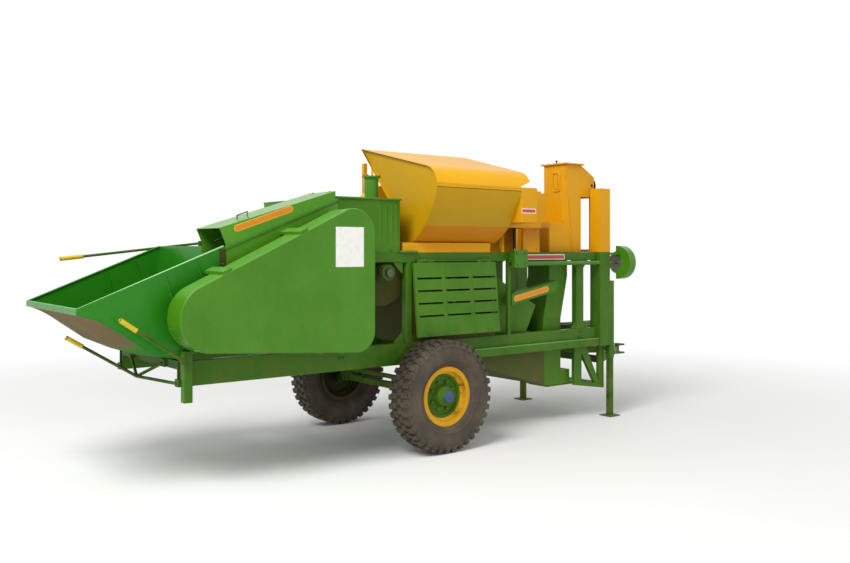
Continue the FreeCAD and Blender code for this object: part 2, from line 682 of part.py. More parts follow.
def control_levers():
    """Three hand levers with grips: right, low middle and upper left."""
    side_y = -BODY_HALF_W - LEG - 15.0
    x0 = RAIL_REAR
    z0 = REAR_LEG_TOP - 57.0
    right = fuse([rod((x0 - 17, side_y, z0), (x0 - 420, side_y, z0 + 282), 11),
                  rod((x0 - 320, side_y, z0 + 212), (x0 - 430, side_y, z0 + 289), 15),
                  box(x0 - 30, x0 + 10, side_y - 11, -BODY_HALF_W - LEG, z0 - 23, z0 + 22)])
    v = (x0 - 80.0, 0.0, RAIL_BOTTOM + 15.0)
    low = [rod(v, (x0 - 555, 0, RAIL_BOTTOM + 312.6), 11),
           rod((x0 - 455, 0, RAIL_BOTTOM + 250), (x0 - 562, 0, RAIL_BOTTOM + 317), 15)]
    for side in (-1, 1):
        low.append(rod(v, (RAIL_REAR - 14, side * (BODY_HALF_W - 35), RAIL_BOTTOM + 22), 11))
        low.append(box(RAIL_REAR - 16, RAIL_REAR, side * (BODY_HALF_W - RAIL_W), side * BODY_HALF_W,
                       RAIL_BOTTOM, RAIL_BOTTOM + 50))
        low.append(rod(v, (RAIL_REAR - 14, side * 300, RAIL_TOP - 38), 11))
        low.append(box(RAIL_REAR - 16, RAIL_REAR, side * 340, side * 260, RAIL_TOP - CROSS_H, RAIL_TOP - 8))
    y_arm = BODY_HALF_W + 16.0
    y_post = BODY_HALF_W - 30.0
    upper = fuse([rod((-1300, y_arm, 1652), (-2393, y_arm, 1532), 10),
                  rod((-2238, y_arm, 1549), (-2403, y_arm, 1531), 15),
                  rod((-1310, y_post, 1651), (-1310, y_arm + 14, 1651), 14),
                  box(-1335, -1285, y_post, BODY_HALF_W, RAIL_TOP, 1670)])
    return right, fuse(low), upper


# ---------------------------------------------------------------- threshing

def drum_casing():
    """Round-bottomed casing of the threshing drum with an inlet on its right rear corner."""
    t = SHEET
    w = CASING_HALF_W
    x0 = DRUM_X - CASING_R
    x1 = DRUM_X + CASING_R
    y_in = -BODY_HALF_W + CHANNEL_W
    inlet_top = DECK_Z - UPPER_RAIL_H
    barrel = Part.makeCylinder(CASING_R, 2 * w, Vector(DRUM_X, -w, DRUM_Z), Vector(0, 1, 0))
    upper = box(x0, x1, -w, w, DRUM_Z, DECK_Z)
    outer = barrel.fuse(upper).common(box(x0, x1, -w, w, 0, DECK_Z))
    inner_r = CASING_R - t
    hollow = Part.makeCylinder(inner_r, 2 * (w - t), Vector(DRUM_X, -w + t, DRUM_Z), Vector(0, 1, 0)).fuse(
        box(x0 + t, x1 - t, -w + t, w - t, DRUM_Z, DECK_Z + 10))
    shell = outer.cut(hollow)
    inlet = box(CASING_BACK_X, x0 + t, -w, y_in, CHANNEL_FLOOR_END, inlet_top)
    inlet_room = box(CASING_BACK_X - 1, x0 + t + 1, -w + t, y_in - t, CHANNEL_FLOOR_END + t, DECK_Z)
    shell = shell.cut(inlet_room).fuse(inlet.cut(inlet_room))
    collars = []
    for side in (-1, 1):
        collars.append(Part.makeCylinder(65.0, 18.0, Vector(DRUM_X, side * w, DRUM_Z), Vector(0, side, 0)))
    shell = fuse([shell] + collars)
    bore = Part.makeCylinder(DRUM_SHAFT_R + SHAFT_PLAY, 2 * w + 80, Vector(DRUM_X, -w - 40, DRUM_Z), Vector(0, 1, 0))
    return shell.cut(bore)


def casing_cover():
    """Tall cover over the drum, open below and at the channel's mouth."""
    t = SHEET
    w = BODY_HALF_W
    y_in = -w + CHANNEL_W
    outer = box(CASING_BACK_X, CASING_FRONT_X, -w, w, DECK_Z, CASING_TOP)
    room = box(CASING_BACK_X + t, CASING_FRONT_X - t, -w + t, w - t, DECK_Z - 1, CASING_TOP - t)
    mouth = box(CASING_BACK_X - 1, CASING_BACK_X + t + 1, -w + t, y_in - t, DECK_Z + 20, top_edge(CASING_BACK_X) - 10)
    shell = outer.cut(room).cut(mouth).cut(drum_room())
    px, pz = lid_pivot()
    lugs = []
    for y0, y1 in lid_lug_spans():
        lug = box(px - 9, CASING_BACK_X + 30, y0, y1, CASING_TOP, pz + 9)
        lugs.append(lug.cut(rod((px, y0 - 1, pz), (px, y1 + 1, pz), LID_PIN_R + SHAFT_PLAY)))
    return fuse([shell] + lugs)


def drum_room():
    """Cylinder that keeps walls clear of the drum."""
    return Part.makeCylinder(DRUM_R + DRUM_CLEAR, 2 * DRUM_HALF_L + 2 * DRUM_CLEAR,
                             Vector(DRUM_X, -DRUM_HALF_L - DRUM_CLEAR, DRUM_Z), Vector(0, 1, 0))


def chaff_stub():
    """Short flanged pipe on the casing cover."""
    cx = -312.0
    cy = -400.0
    bore = 53.0
    pipe = ring((cx, cy, CASING_TOP), (0, 0, 1), bore + SHEET, bore, 182.0)
    flange = ring((cx, cy, CASING_TOP + 170.0), (0, 0, 1), 76.0, bore, 12.0)
    return fuse([pipe, flange])


def drum_rotor():
    """Shaft, three discs and eight beater bars."""
    y_end = BODY_HALF_W + 80.0
    pieces = [rod((DRUM_X, -y_end + 20, DRUM_Z), (DRUM_X, y_end, DRUM_Z), DRUM_SHAFT_R)]
    for y in (-DRUM_HALF_L, -5.0, DRUM_HALF_L - 10.0):
        pieces.append(Part.makeCylinder(DRUM_R - 14, 10.0, Vector(DRUM_X, y, DRUM_Z), Vector(0, 1, 0)))
    for k in range(8):
        angle = math.radians(22.5 + 45.0 * k)
        bar = box(DRUM_R - 28, DRUM_R, -DRUM_HALF_L, DRUM_HALF_L, -22, 22)
        bar.rotate(Vector(0, 0, 0), Vector(0, 1, 0), math.degrees(angle))
        bar.translate(Vector(DRUM_X, 0, DRUM_Z))
        pieces.append(bar)
    return fuse(pieces)


def drum_pulleys():
    """Small pulley on the right end and the large drive pulley on the left end of the drum shaft."""
    small = ring((DRUM_X, -BODY_HALF_W - 40, DRUM_Z), (0, 1, 0), 62.0, DRUM_SHAFT_R, 44.0)
    groove = ring((DRUM_X, -BODY_HALF_W - 26, DRUM_Z), (0, 1, 0), 70.0, 50.0, 16.0)
    y0 = BODY_HALF_W + 12.0
    large = ring((DRUM_X, y0, DRUM_Z), (0, 1, 0), 200.0, DRUM_SHAFT_R, 60.0)
    for k in range(3):
        large = large.cut(ring((DRUM_X, y0 + 6 + 18 * k, DRUM_Z), (0, 1, 0), 210.0, 186.0, 12.0))
    return small.cut(groove), large


# ---------------------------------------------------------------- cleaning

def fan_housing():
    """Box round the winnowing fan with door openings both sides and an open floor."""
    t = SHEET
    w = BODY_HALF_W - 6.0
    z1 = DECK_Z - UPPER_RAIL_H - 2.0
    z0 = RAIL_TOP
    outer = box(FAN_BACK_X, FAN_FRONT_X, -w, w, z0, z1)
    room = box(FAN_BACK_X + t, FAN_FRONT_X - t, -w + t, w - t, z0 + t, z1 - t)
    opening = box(FAN_BACK_X + 45, FAN_FRONT_X - 45, -w - 1, w + 1, DOOR_BOTTOM + 40, DOOR_TOP - 60)
    floor_gap = box(FAN_BACK_X + 60, FAN_FRONT_X - 60, -w + 80, w - 80, z0 - 1, z0 + t + 1)
    shell = outer.cut(room).cut(opening).cut(floor_gap)
    bars = []
    for side in (-1, 1):
        bars.append(box(FAN_X - 35, FAN_X + 35, side * w, side * (w - 16), z0 + t, z1 - t))
    shell = fuse([shell] + bars)
    bore = rod((FAN_X, -w - 5, FAN_Z), (FAN_X, w + 5, FAN_Z), FAN_SHAFT_R + SHAFT_PLAY)
    return shell.cut(bore)


def fan_rotor():
    """Four-blade winnowing fan on its shaft."""
    half = BODY_HALF_W - 60.0
    w = BODY_HALF_W - 6.0
    pieces = [rod((FAN_X, -w, FAN_Z), (FAN_X, w, FAN_Z), FAN_SHAFT_R)]
    for k in range(4):
        blade = box(FAN_SHAFT_R - 2, FAN_R, -half, half, -3, 3)
        blade.rotate(Vector(0, 0, 0), Vector(0, 1, 0), 90.0 * k + 20.0)
        blade.translate(Vector(FAN_X, 0, FAN_Z))
        pieces.append(blade)
    return fuse(pieces)


def louvre_door():
    """Right louvred door, hung from its top edge and leaning out at its foot."""
    y_top = -BODY_HALF_W - 5.0
    z0 = DOOR_BOTTOM
    z1 = DOOR_TOP
    outline = [(y_top, z1), (y_top - DOOR_T, z1), (y_top - DOOR_T - DOOR_STAND, z0), (y_top - DOOR_STAND, z0)]
    x0 = DOOR_BACK_X
    x1 = DOOR_FRONT_X
    panel = prism(outline, "X", x0, x1)
    slots = []
    columns = 3
    rows = 4
    pitch_x = (x1 - x0) / columns
    for i in range(columns):
        for k in range(rows):
            z = z1 - 120.0 - k * 100.0
            slot = box(x0 + pitch_x * i + 25, x0 + pitch_x * (i + 1) - 20, y_top - 120, y_top + 10, z - 14, z)
            slots.append(slot)
    inner = [(y_top + 1, z1 - 20), (y_top - DOOR_T + SHEET, z1 - 20),
             (y_top - DOOR_T - DOOR_STAND + SHEET, z0 + 20), (y_top - DOOR_STAND + 1, z0 + 20)]
    dish = prism(inner, "X", x0 + 20, x1 - 20)
    panel = panel.cut(dish).cut(Part.makeCompound(slots))
    y_pin = -BODY_HALF_W - HINGE_OUT
    near_lug = DOOR_BACK_X + 110
    far_lug = DOOR_FRONT_X - 110 - HINGE_LUG
    barrels = [rod((near_lug - 60, y_pin, HINGE_Z), (far_lug + HINGE_LUG + 60, y_pin, HINGE_Z), HINGE_PIN_R)]
    for x in (near_lug - 65, near_lug + HINGE_LUG + 5, far_lug - 65, far_lug + HINGE_LUG + 5):
        barrels.append(rod((x, y_pin, HINGE_Z), (x + 60, y_pin, HINGE_Z), HINGE_BARREL_R))
        barrels.append(box(x, x + 60, y_pin - 4, y_pin + 4, z1 - 1, HINGE_Z))
    return fuse([panel] + barrels)


def grain_pan():
    """Sloping pan under the chassis that feeds the elevator boot."""
    half = BODY_HALF_W - RAIL_W - 20.0
    outline = [(430, RAIL_TOP - CROSS_H), (430, 684), (1540, 357), (1540, RAIL_TOP - CROSS_H)]
    room = [(430 + SHEET, RAIL_TOP), (430 + SHEET, 684 + SHEET), (1540 - SHEET, 357 + SHEET), (1540 - SHEET, RAIL_TOP)]
    return prism(outline, "Y", -half, half).cut(prism(room, "Y", -half + SHEET, half - SHEET))


def sieve_box():
    """Shaking box between the fan and the elevator, open below."""
    half = -ELEV_Y0
    t = SHEET
    x0 = FAN_FRONT_X + 12
    foot_x = 1318.0
    nose_x = 1443.0
    nose_z = 1096.0
    outline = [(x0, RAIL_TOP), (foot_x, RAIL_TOP), (nose_x, nose_z), (x0, 1400)]
    room = [(x0 + t, RAIL_TOP - 1), (foot_x - 1.5 * t, RAIL_TOP - 1), (nose_x - 2 * t, nose_z - t), (x0 + t, 1400 - 2 * t)]
    return prism(outline, "Y", -half, half).cut(prism(room, "Y", -half + t, half - t))


def transfer_duct():
    """Inclined duct on the right side from the sieve box to the elevator."""
    t = SHEET
    y0 = ELEV_Y0 - 85.0
    y1 = ELEV_Y0
    outer = prism([(1060, 1112), (1060, 1207), (1640, 1316), (1640, 1221)], "Y", y0, y1)
    room = prism([(1060 + t, 1113 + t), (1060 + t, 1208 - t), (1640 - t, 1315 - t), (1640 - t, 1220 + t)],
                 "Y", y0 + t, y1 - t)
    return outer.cut(room)


# ---------------------------------------------------------------- yellow top

def separator_base():
    """Low yellow housing on the deck with the opening under the hood."""
    t = SHEET
    w = BODY_HALF_W
    x0 = -130.0
    x1 = 800.0
    z0 = DECK_Z
    z1 = SEP_BASE_TOP
    outer = box(x0, x1, -w, w, z0, z1)
    room = box(x0 + t, x1 - t, -w + t, w - t, z0 - 1, z1 - t)
    mouth = box(HOOD_BACK_X + 30, HOOD_FRONT_X - 130, -w + 90, -100, z1 - t - 1, z1 + 1)
    return outer.cut(room).cut(mouth).cut(drum_room())


def separator_box():
    """Raised yellow box in front of the hood, on two side plates."""
    t = SHEET
    w = BODY_HALF_W
    outer = box(HOOD_FRONT_X + 2, 1400, -w - 20, w, SEP_BOTTOM, SEP_TOP)
    room = box(HOOD_FRONT_X + 2 + t, 1400 - t, -w - 20 + t, w - t, SEP_BOTTOM + t, SEP_TOP - t)
    shell = outer.cut(room)
    board_y = -w - 290.0
    board = box(HOOD_FRONT_X + 2, 1077, board_y, -w - 20, 1825, SEP_TOP)
    board_room = box(HOOD_FRONT_X + 2 + t, 1077 - t, board_y + t, -w - 21, 1825 + t, SEP_TOP - t)
    plates = []
    for side in (-1, 1):
        plates.append(box(1190, 1400, side * w, side * (w - 20), DECK_Z, SEP_BOTTOM))
        plates.append(box(935, 965, side * w, side * (w - 30), DECK_Z, SEP_BOTTOM))
    plates.append(box(HOOD_FRONT_X + 2, 1195, SEP_WALL_Y, SEP_WALL_Y + t, DECK_Z, SEP_BOTTOM))
    return fuse([shell, board.cut(board_room)] + plates)


def hood_curve(offset):
    """Wire of the hood's sheet in the Y-Z plane, moved inwards by offset."""
    tip = Vector(0, HOOD_TIP[0], HOOD_TIP[1] - offset)
    side_y = -BODY_HALF_W + offset
    shoulder = Vector(0, -BODY_HALF_W - 152.0, 2262.0 - offset)
    bend = Vector(0, -BODY_HALF_W - 248.0 + offset * 0.7, 2203.0 - offset * 0.7)
    face_top = Vector(0, side_y - 290.0, 2092.0)
    foot = Vector(0, HOOD_FOOT[0] + offset * 0.5, HOOD_FOOT[1] + offset)
    low_mid = Vector(0, -BODY_HALF_W - 178.0 + offset * 0.8, 1840.0 + offset * 0.6)
    return [Part.makeLine(tip, shoulder), Part.Arc(shoulder, bend, face_top).toShape(),
            Part.Arc(face_top, low_mid, foot).toShape()]


def hood_front_cut(offset):
    """Room taken off the front end below its leaning edge, moved back by offset."""
    face_x = HOOD_FRONT_X - offset
    roof_x = HOOD_TOP_FRONT_X - offset
    beyond = HOOD_TOP_FRONT_X + 10.0
    step_z = HOOD_STEP_Z + offset * 0.45
    profile = [(face_x, SEP_BASE_TOP - 10), (face_x, step_z), (roof_x, step_z + HOOD_STEP_H),
               (beyond, step_z + HOOD_STEP_H), (beyond, SEP_BASE_TOP - 10)]
    below = prism(profile, "Y", -BODY_HALF_W - 400, BODY_HALF_W)
    far_y = -BODY_HALF_W - 400
    eave_x = roof_x - HOOD_FRONT_SKEW * (HOOD_TIP[0] - far_y)
    ahead = prism([(roof_x, HOOD_TIP[0]), (eave_x, far_y), (beyond, far_y), (beyond, HOOD_TIP[0])],
                  "Z", SEP_BASE_TOP, HOOD_TIP[1] + 1)
    return below.fuse(ahead)


def chaff_hood():
    """Curved sheet with two end plates, open on its inner side, and an upright plate below its rear end."""
    outer_edges = hood_curve(0.0)
    inner_edges = hood_curve(SHEET)
    tip = outer_edges[0].Vertexes[0].Point
    foot = outer_edges[-1].Vertexes[-1].Point
    tip_in = inner_edges[0].Vertexes[0].Point
    foot_in = inner_edges[-1].Vertexes[-1].Point
    length = HOOD_TOP_FRONT_X - HOOD_BACK_X
    plate_face = Part.Face(Part.Wire(outer_edges + [Part.makeLine(foot, tip)]))
    room_face = Part.Face(Part.Wire(inner_edges + [Part.makeLine(foot_in, Vector(0, foot_in.y + 60, foot_in.z)),
                                                   Part.makeLine(Vector(0, foot_in.y + 60, foot_in.z),
                                                                 Vector(0, tip_in.y + 60, tip_in.z)),
                                                   Part.makeLine(Vector(0, tip_in.y + 60, tip_in.z), tip_in)]))
    body = plate_face.extrude(Vector(length, 0, 0))
    room = room_face.extrude(Vector(length - 2 * SHEET, 0, 0))
    body.translate(Vector(HOOD_BACK_X, 0, 0))
    room.translate(Vector(HOOD_BACK_X + SHEET, 0, 0))
    shell = body.cut(hood_front_cut(0.0)).cut(room.cut(hood_front_cut(SHEET)))
    run = (tip.y - foot.y) / (tip.z - foot.z)
    plate = prism([(foot.y, foot.z), (HOOD_PLATE_Y, foot.z), (HOOD_PLATE_Y, HOOD_PLATE_TOP),
                   (foot.y + run * (HOOD_PLATE_TOP - foot.z), HOOD_PLATE_TOP)], "X", HOOD_BACK_X, HOOD_BACK_X + SHEET)
    return shell.fuse(plate)


def left_housing():
    """Hump-backed air housing on the left side, open at its front, with a pole and a rod beside it."""
    t = SHEET
    y1 = BODY_HALF_W - 35.0
    y0 = y1 - 165.0
    x1 = 640.0
    outline = [(60, SEP_BASE_TOP), (60, 1960), (330, 2180), (540, 2180), (x1, 2040), (x1, SEP_BASE_TOP)]
    room = [(60 + t, SEP_BASE_TOP + t), (60 + t, 1960 - t), (330 + t, 2180 - t), (540 - t, 2180 - t),
            (x1 - t, 2040 - t), (x1 - t, SEP_BASE_TOP + t)]
    shell = prism(outline, "Y", y0, y1).cut(prism(room, "Y", y0 + t, y1 - t))
    shell = shell.cut(box(x1 - t - 1, x1 + 1, y0 + t, y1 - t, SEP_BASE_TOP + t, 2040 - t))
    pole = box(262, 298, y1 - 1, y1 + 32, SEP_BASE_TOP, 2390)
    slim = rod((362, y1 + 8, SEP_BASE_TOP), (362, y1 + 8, 2392), 10)
    return fuse([shell, pole, slim])


def front_bulkhead():
    """Yellow front wall with its two corner boxes."""
    w = BODY_HALF_W + 40.0
    wall = box(COLUMN_X + COLUMN_W - 30, COLUMN_X + COLUMN_W - 30 + SHEET, -w + COLUMN_D, w - COLUMN_D,
               DECK_Z, COLUMN_TOP)
    gap = box(COLUMN_X, COLUMN_X + COLUMN_W, -BODY_HALF_W + 200, ELEV_Y0 + 220, DECK_Z + 25, COLUMN_TOP - 80)
    wall = wall.cut(gap)
    boxes = []
    for side in (-1, 1):
        outer = side * w
        boxes.append(tube_z(COLUMN_X, COLUMN_X + COLUMN_W, outer, outer - side * COLUMN_D, DECK_Z, COLUMN_TOP, SHEET))
    return fuse([wall] + boxes)


# ---------------------------------------------------------------- elevator

def elevator_boot():
    """Foot of the grain elevator under the chassis."""
    x0 = 1542.0
    x1 = 1770.0
    t = SHEET
    outer = box(x0, x1, ELEV_Y0, ELEV_Y1, 350, 960)
    outer = outer.cut(box(x0 + t, x1 - t, ELEV_Y0 + t, ELEV_Y1 - t, 350 + t, 961))
    toe = box(x1 - 1, 1889, ELEV_Y0, ELEV_Y1, 350, 477)
    toe = toe.cut(box(x1, 1889 - t, ELEV_Y0 + t, ELEV_Y1 - t, 350 + t, 477 - t))
    skid = box(1610, 2067, ELEV_Y0 + 20, ELEV_Y1 - 20, 330, 350)
    return fuse([outer, toe, skid])


def elevator_leg():
    """Leaning green trunk between boot and tower."""
    t = SHEET
    outer = prism([(1542, 960), (1770, 960), (LEG_X1, 1350), (LEG_X1, DECK_Z), (LEG_X0, DECK_Z), (LEG_X0, 1350)],
                  "Y", ELEV_Y0, ELEV_Y1)
    room = prism([(1542 + t, 959), (1770 - t, 959), (LEG_X1 - t, 1350), (LEG_X1 - t, DECK_Z + 1),
                  (LEG_X0 + t, DECK_Z + 1), (LEG_X0 + t, 1350)], "Y", ELEV_Y0 + t, ELEV_Y1 - t)
    return outer.cut(room)


def elevator_tower():
    """Yellow trunk with its broad foot on the deck and a flange on top."""
    t = SHEET
    trunk = box(TOWER_X0, TOWER_X1, ELEV_Y0, ELEV_Y1, 1850, TOWER_TOP)
    trunk = trunk.cut(box(TOWER_X0 + t, TOWER_X1 - t, ELEV_Y0 + t, ELEV_Y1 - t, 1849, TOWER_TOP + 1))
    foot = prism([(LEG_X0, DECK_Z), (TOWER_X1, DECK_Z), (TOWER_X1, 1850), (LEG_X0 + 40, 1850), (LEG_X0, 1800)],
                 "Y", ELEV_Y0, ELEV_Y1)
    foot = foot.cut(prism([(LEG_X0 + t, DECK_Z - 1), (TOWER_X1 - t, DECK_Z - 1), (TOWER_X1 - t, 1850 - t),
                           (LEG_X0 + 40, 1850 - t), (LEG_X0 + t, 1800)], "Y", ELEV_Y0 + t, ELEV_Y1 - t))
    foot = foot.cut(box(TOWER_X0 + t, TOWER_X1 - t, ELEV_Y0 + t, ELEV_Y1 - t, 1800, 1860))
    flange = box(TOWER_X0 - 25, TOWER_X1 + 25, ELEV_Y0 - 25, ELEV_Y1 + 25, TOWER_TOP, TOWER_TOP + 12)
    return fuse([trunk, foot, flange])


def elevator_head():
    """Sloping outlet on the front of the tower, open below and in front, bored for the head shaft."""
    t = SHEET
    roof = TOWER_TOP - 5.0
    nose = 2294.0
    body = prism([(TOWER_X1, HEAD_BOTTOM), (HEAD_X, HEAD_BOTTOM), (HEAD_X, nose), (TOWER_X1 + 12, roof), (TOWER_X1, roof)],
                 "Y", ELEV_Y0, ELEV_Y1)
    body = body.cut(prism([(TOWER_X1 + t, HEAD_BOTTOM - 1), (HEAD_X - t, HEAD_BOTTOM - 1), (HEAD_X - t, nose - t),
                           (TOWER_X1 + 12, roof - t), (TOWER_X1 + t, roof - t)], "Y", ELEV_Y0 + t, ELEV_Y1 - t))
    body = body.cut(box(HEAD_X - 6, HEAD_X + 1, ELEV_Y0 + t, ELEV_Y1 - t, HEAD_BOTTOM + 35, nose - t))
    bore = rod((HEAD_SHAFT_X, ELEV_Y0 - 1, HEAD_SHAFT_Z), (HEAD_SHAFT_X, ELEV_Y1 + 1, HEAD_SHAFT_Z),
               HEAD_SHAFT_R + SHAFT_PLAY)
    return body.cut(bore)


def head_pulley():
    """Black head drum of the elevator belt on its shaft, between the walls of the outlet."""
    shaft = rod((HEAD_SHAFT_X, ELEV_Y0, HEAD_SHAFT_Z), (HEAD_SHAFT_X, ELEV_Y1 + 40, HEAD_SHAFT_Z), HEAD_SHAFT_R)
    shell = ring((HEAD_SHAFT_X, ELEV_Y0 + 14, HEAD_SHAFT_Z), (0, 1, 0), HEAD_PULLEY_R, HEAD_PULLEY_R - 8, ELEV_W - 28)
    webs = []
    for y in (ELEV_Y0 + 24, ELEV_Y1 - 34):
        webs.append(ring((HEAD_SHAFT_X, y, HEAD_SHAFT_Z), (0, 1, 0), HEAD_PULLEY_R - 7, HEAD_SHAFT_R - 1, 10.0))
    holes = []
    for k in range(4):
        angle = math.radians(45.0 + 90.0 * k)
        x = HEAD_SHAFT_X + 42.0 * math.cos(angle)
        z = HEAD_SHAFT_Z + 42.0 * math.sin(angle)
        holes.append(rod((x, ELEV_Y0 + 20, z), (x, ELEV_Y1 - 20, z), 14.0))
    return fuse([shaft, shell] + webs).cut(Part.makeCompound(holes))


# ---------------------------------------------------------------- drives

def drive_tube():
    """Tube round the side shaft, from its rear bearing block to the front column, with an arm to a post."""
    x0 = DRIVE_BLOCK_X
    block_end = x0 + DRIVE_BLOCK_L
    tube = ring((block_end - 1, DRIVE_Y, DRIVE_Z), (1, 0, 0), DRIVE_TUBE_R, DRIVE_SHAFT_R + SHAFT_PLAY,
                COLUMN_X - block_end + 1)
    block = box(x0, block_end, -BODY_HALF_W - 80, -BODY_HALF_W, DRIVE_Z - 33, DRIVE_Z + 121)
    arm = box(1900, 1960, DRIVE_Y, -BODY_HALF_W, DRIVE_Z - 10, DRIVE_Z + 10)
    bore = rod((x0 - 1, DRIVE_Y, DRIVE_Z), (COLUMN_X + 1, DRIVE_Y, DRIVE_Z), DRIVE_SHAFT_R + SHAFT_PLAY)
    return fuse([tube, block, arm]).cut(bore)


def drive_shaft():
    """Side shaft with the belt pulley at its front end."""
    shaft = rod((DRIVE_BLOCK_X + 2, DRIVE_Y, DRIVE_Z), (DRIVE_PULLEY_X + 120, DRIVE_Y, DRIVE_Z), DRIVE_SHAFT_R)
    pulley = ring((DRIVE_PULLEY_X, DRIVE_Y, DRIVE_Z), (1, 0, 0), PULLEY_R, DRIVE_SHAFT_R - 1, 60.0)
    for k in range(2):
        pulley = pulley.cut(ring((DRIVE_PULLEY_X + 8 + 26 * k, DRIVE_Y, DRIVE_Z), (1, 0, 0),
                                 PULLEY_R + 10, PULLEY_R - 14, 18.0))
    return fuse([shaft, pulley])


def pulley_guard():
    """Half-round cover over the outer side of the front pulley, held to the front column."""
    x0 = DRIVE_PULLEY_X - 15.0
    x1 = DRIVE_PULLEY_X + 75.0
    shell = ring((x0, DRIVE_Y, DRIVE_Z), (1, 0, 0), GUARD_R, GUARD_R - SHEET, x1 - x0)
    back = ring((x0, DRIVE_Y, DRIVE_Z), (1, 0, 0), GUARD_R, 60.0, SHEET)
    inner_half = box(x0 - 1, x1 + 1, DRIVE_Y + 10, DRIVE_Y + GUARD_R + 5, DRIVE_Z - GUARD_R - 5, DRIVE_Z + GUARD_R + 5)
    bracket = box(COLUMN_X + COLUMN_W, x0, DRIVE_Y - 45, -BODY_HALF_W + 20, DRIVE_Z + 75, DRIVE_Z + 95)
    return fuse([fuse([shell, back]).cut(inner_half), bracket])


def pto_shaft():
    """Input shaft at the front with a drive pulley and a bare stub end."""
    body = rod((2100, 0, PTO_Z), (2700, 0, PTO_Z), PTO_BODY_R)
    stub = rod((2700, 0, PTO_Z), (2800, 0, PTO_Z), PTO_R)
    return fuse([body, stub])


def pto_bearings():
    """Two bearing plates that carry the input shaft on the front cross member."""
    x0 = CROSS_X[-1] - 130
    plate = box(x0, x0 + 40, -60, 60, PTO_Z - 60, RAIL_TOP)
    beam = box(x0, x0 + 40, -BODY_HALF_W + RAIL_W, BODY_HALF_W - RAIL_W, RAIL_TOP - 40, RAIL_TOP)
    bore = rod((x0 - 1, 0, PTO_Z), (x0 + 41, 0, PTO_Z), PTO_BODY_R + SHAFT_PLAY)
    return fuse([plate, beam]).cut(bore)


def main():
    """Build every node and write it."""
    rail = chassis_rail()
    save("chassis_rail_right", rail)
    save("chassis_rail_left", mirror_y(rail))
    save("chassis_cross_members", *cross_members())
    save("axle_beam", axle_beam())
    save("front_subframe", front_subframe())
    save("drawbar", drawbar())
    save("pto_guard", pto_guard())
    top_rail = upper_rail()
    save("upper_rails", top_rail, mirror_y(top_rail))
    save("deck_cross_members", *deck_cross_members())
    save("side_posts", *side_posts())
    column = front_column()
    save("front_columns", column, mirror_y(column))
    save("front_legs", *drop_legs())
    save("front_leg_sleeves", *leg_sleeves())
    save("rear_leg", rear_leg())
    for name, side in (("right", -1), ("left", 1)):
        centre = side * TRACK / 2.0
        save(name + "_tyre", tyre(centre))
        save(name + "_rim", rim(centre))
        save(name + "_disc", wheel_disc(centre, side))
    save("feed_hopper", feed_hopper())
    save("feed_channel", feed_channel())
    save("feed_conveyor", feed_conveyor())
    save("feeder_lid", feeder_lid())
    save("belt_guard", belt_guard())
    save("guard_brackets", *guard_brackets())
    right_lever, low_lever, upper_lever = control_levers()
    save("control_levers", right_lever, low_lever, upper_lever)
    save("drum_casing", drum_casing())
    save("casing_cover", casing_cover())
    save("chaff_stub", chaff_stub())
    save("drum_rotor", drum_rotor())
    small, large = drum_pulleys()
    save("drum_pulleys", small, large)
    save("fan_housing", fan_housing())
    save("fan_rotor", fan_rotor())
    door = louvre_door()
    save("louvre_door_right", door)
    save("louvre_door_left", mirror_y(door))
    save("grain_pan", grain_pan())
    save("sieve_box", sieve_box())
    save("transfer_duct", transfer_duct())
    save("separator_base", separator_base())
    save("separator_box", separator_box())
    save("chaff_hood", chaff_hood())
    save("left_housing", left_housing())
    save("front_bulkhead", front_bulkhead())
    save("elevator_boot", elevator_boot())
    save("elevator_leg", elevator_leg())
    save("elevator_tower", elevator_tower())
    save("elevator_head", elevator_head())
    save("head_pulley", head_pulley())
    save("drive_tube", drive_tube())
    save("drive_shaft", drive_shaft())
    save("pulley_guard", pulley_guard())
    save("pto_shaft", pto_shaft())
    save("pto_bearings", pto_bearings())


main()
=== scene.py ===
import json
import logging
import math
from collections.abc import Iterable, Iterator, Sequence
from dataclasses import dataclass
from enum import Enum

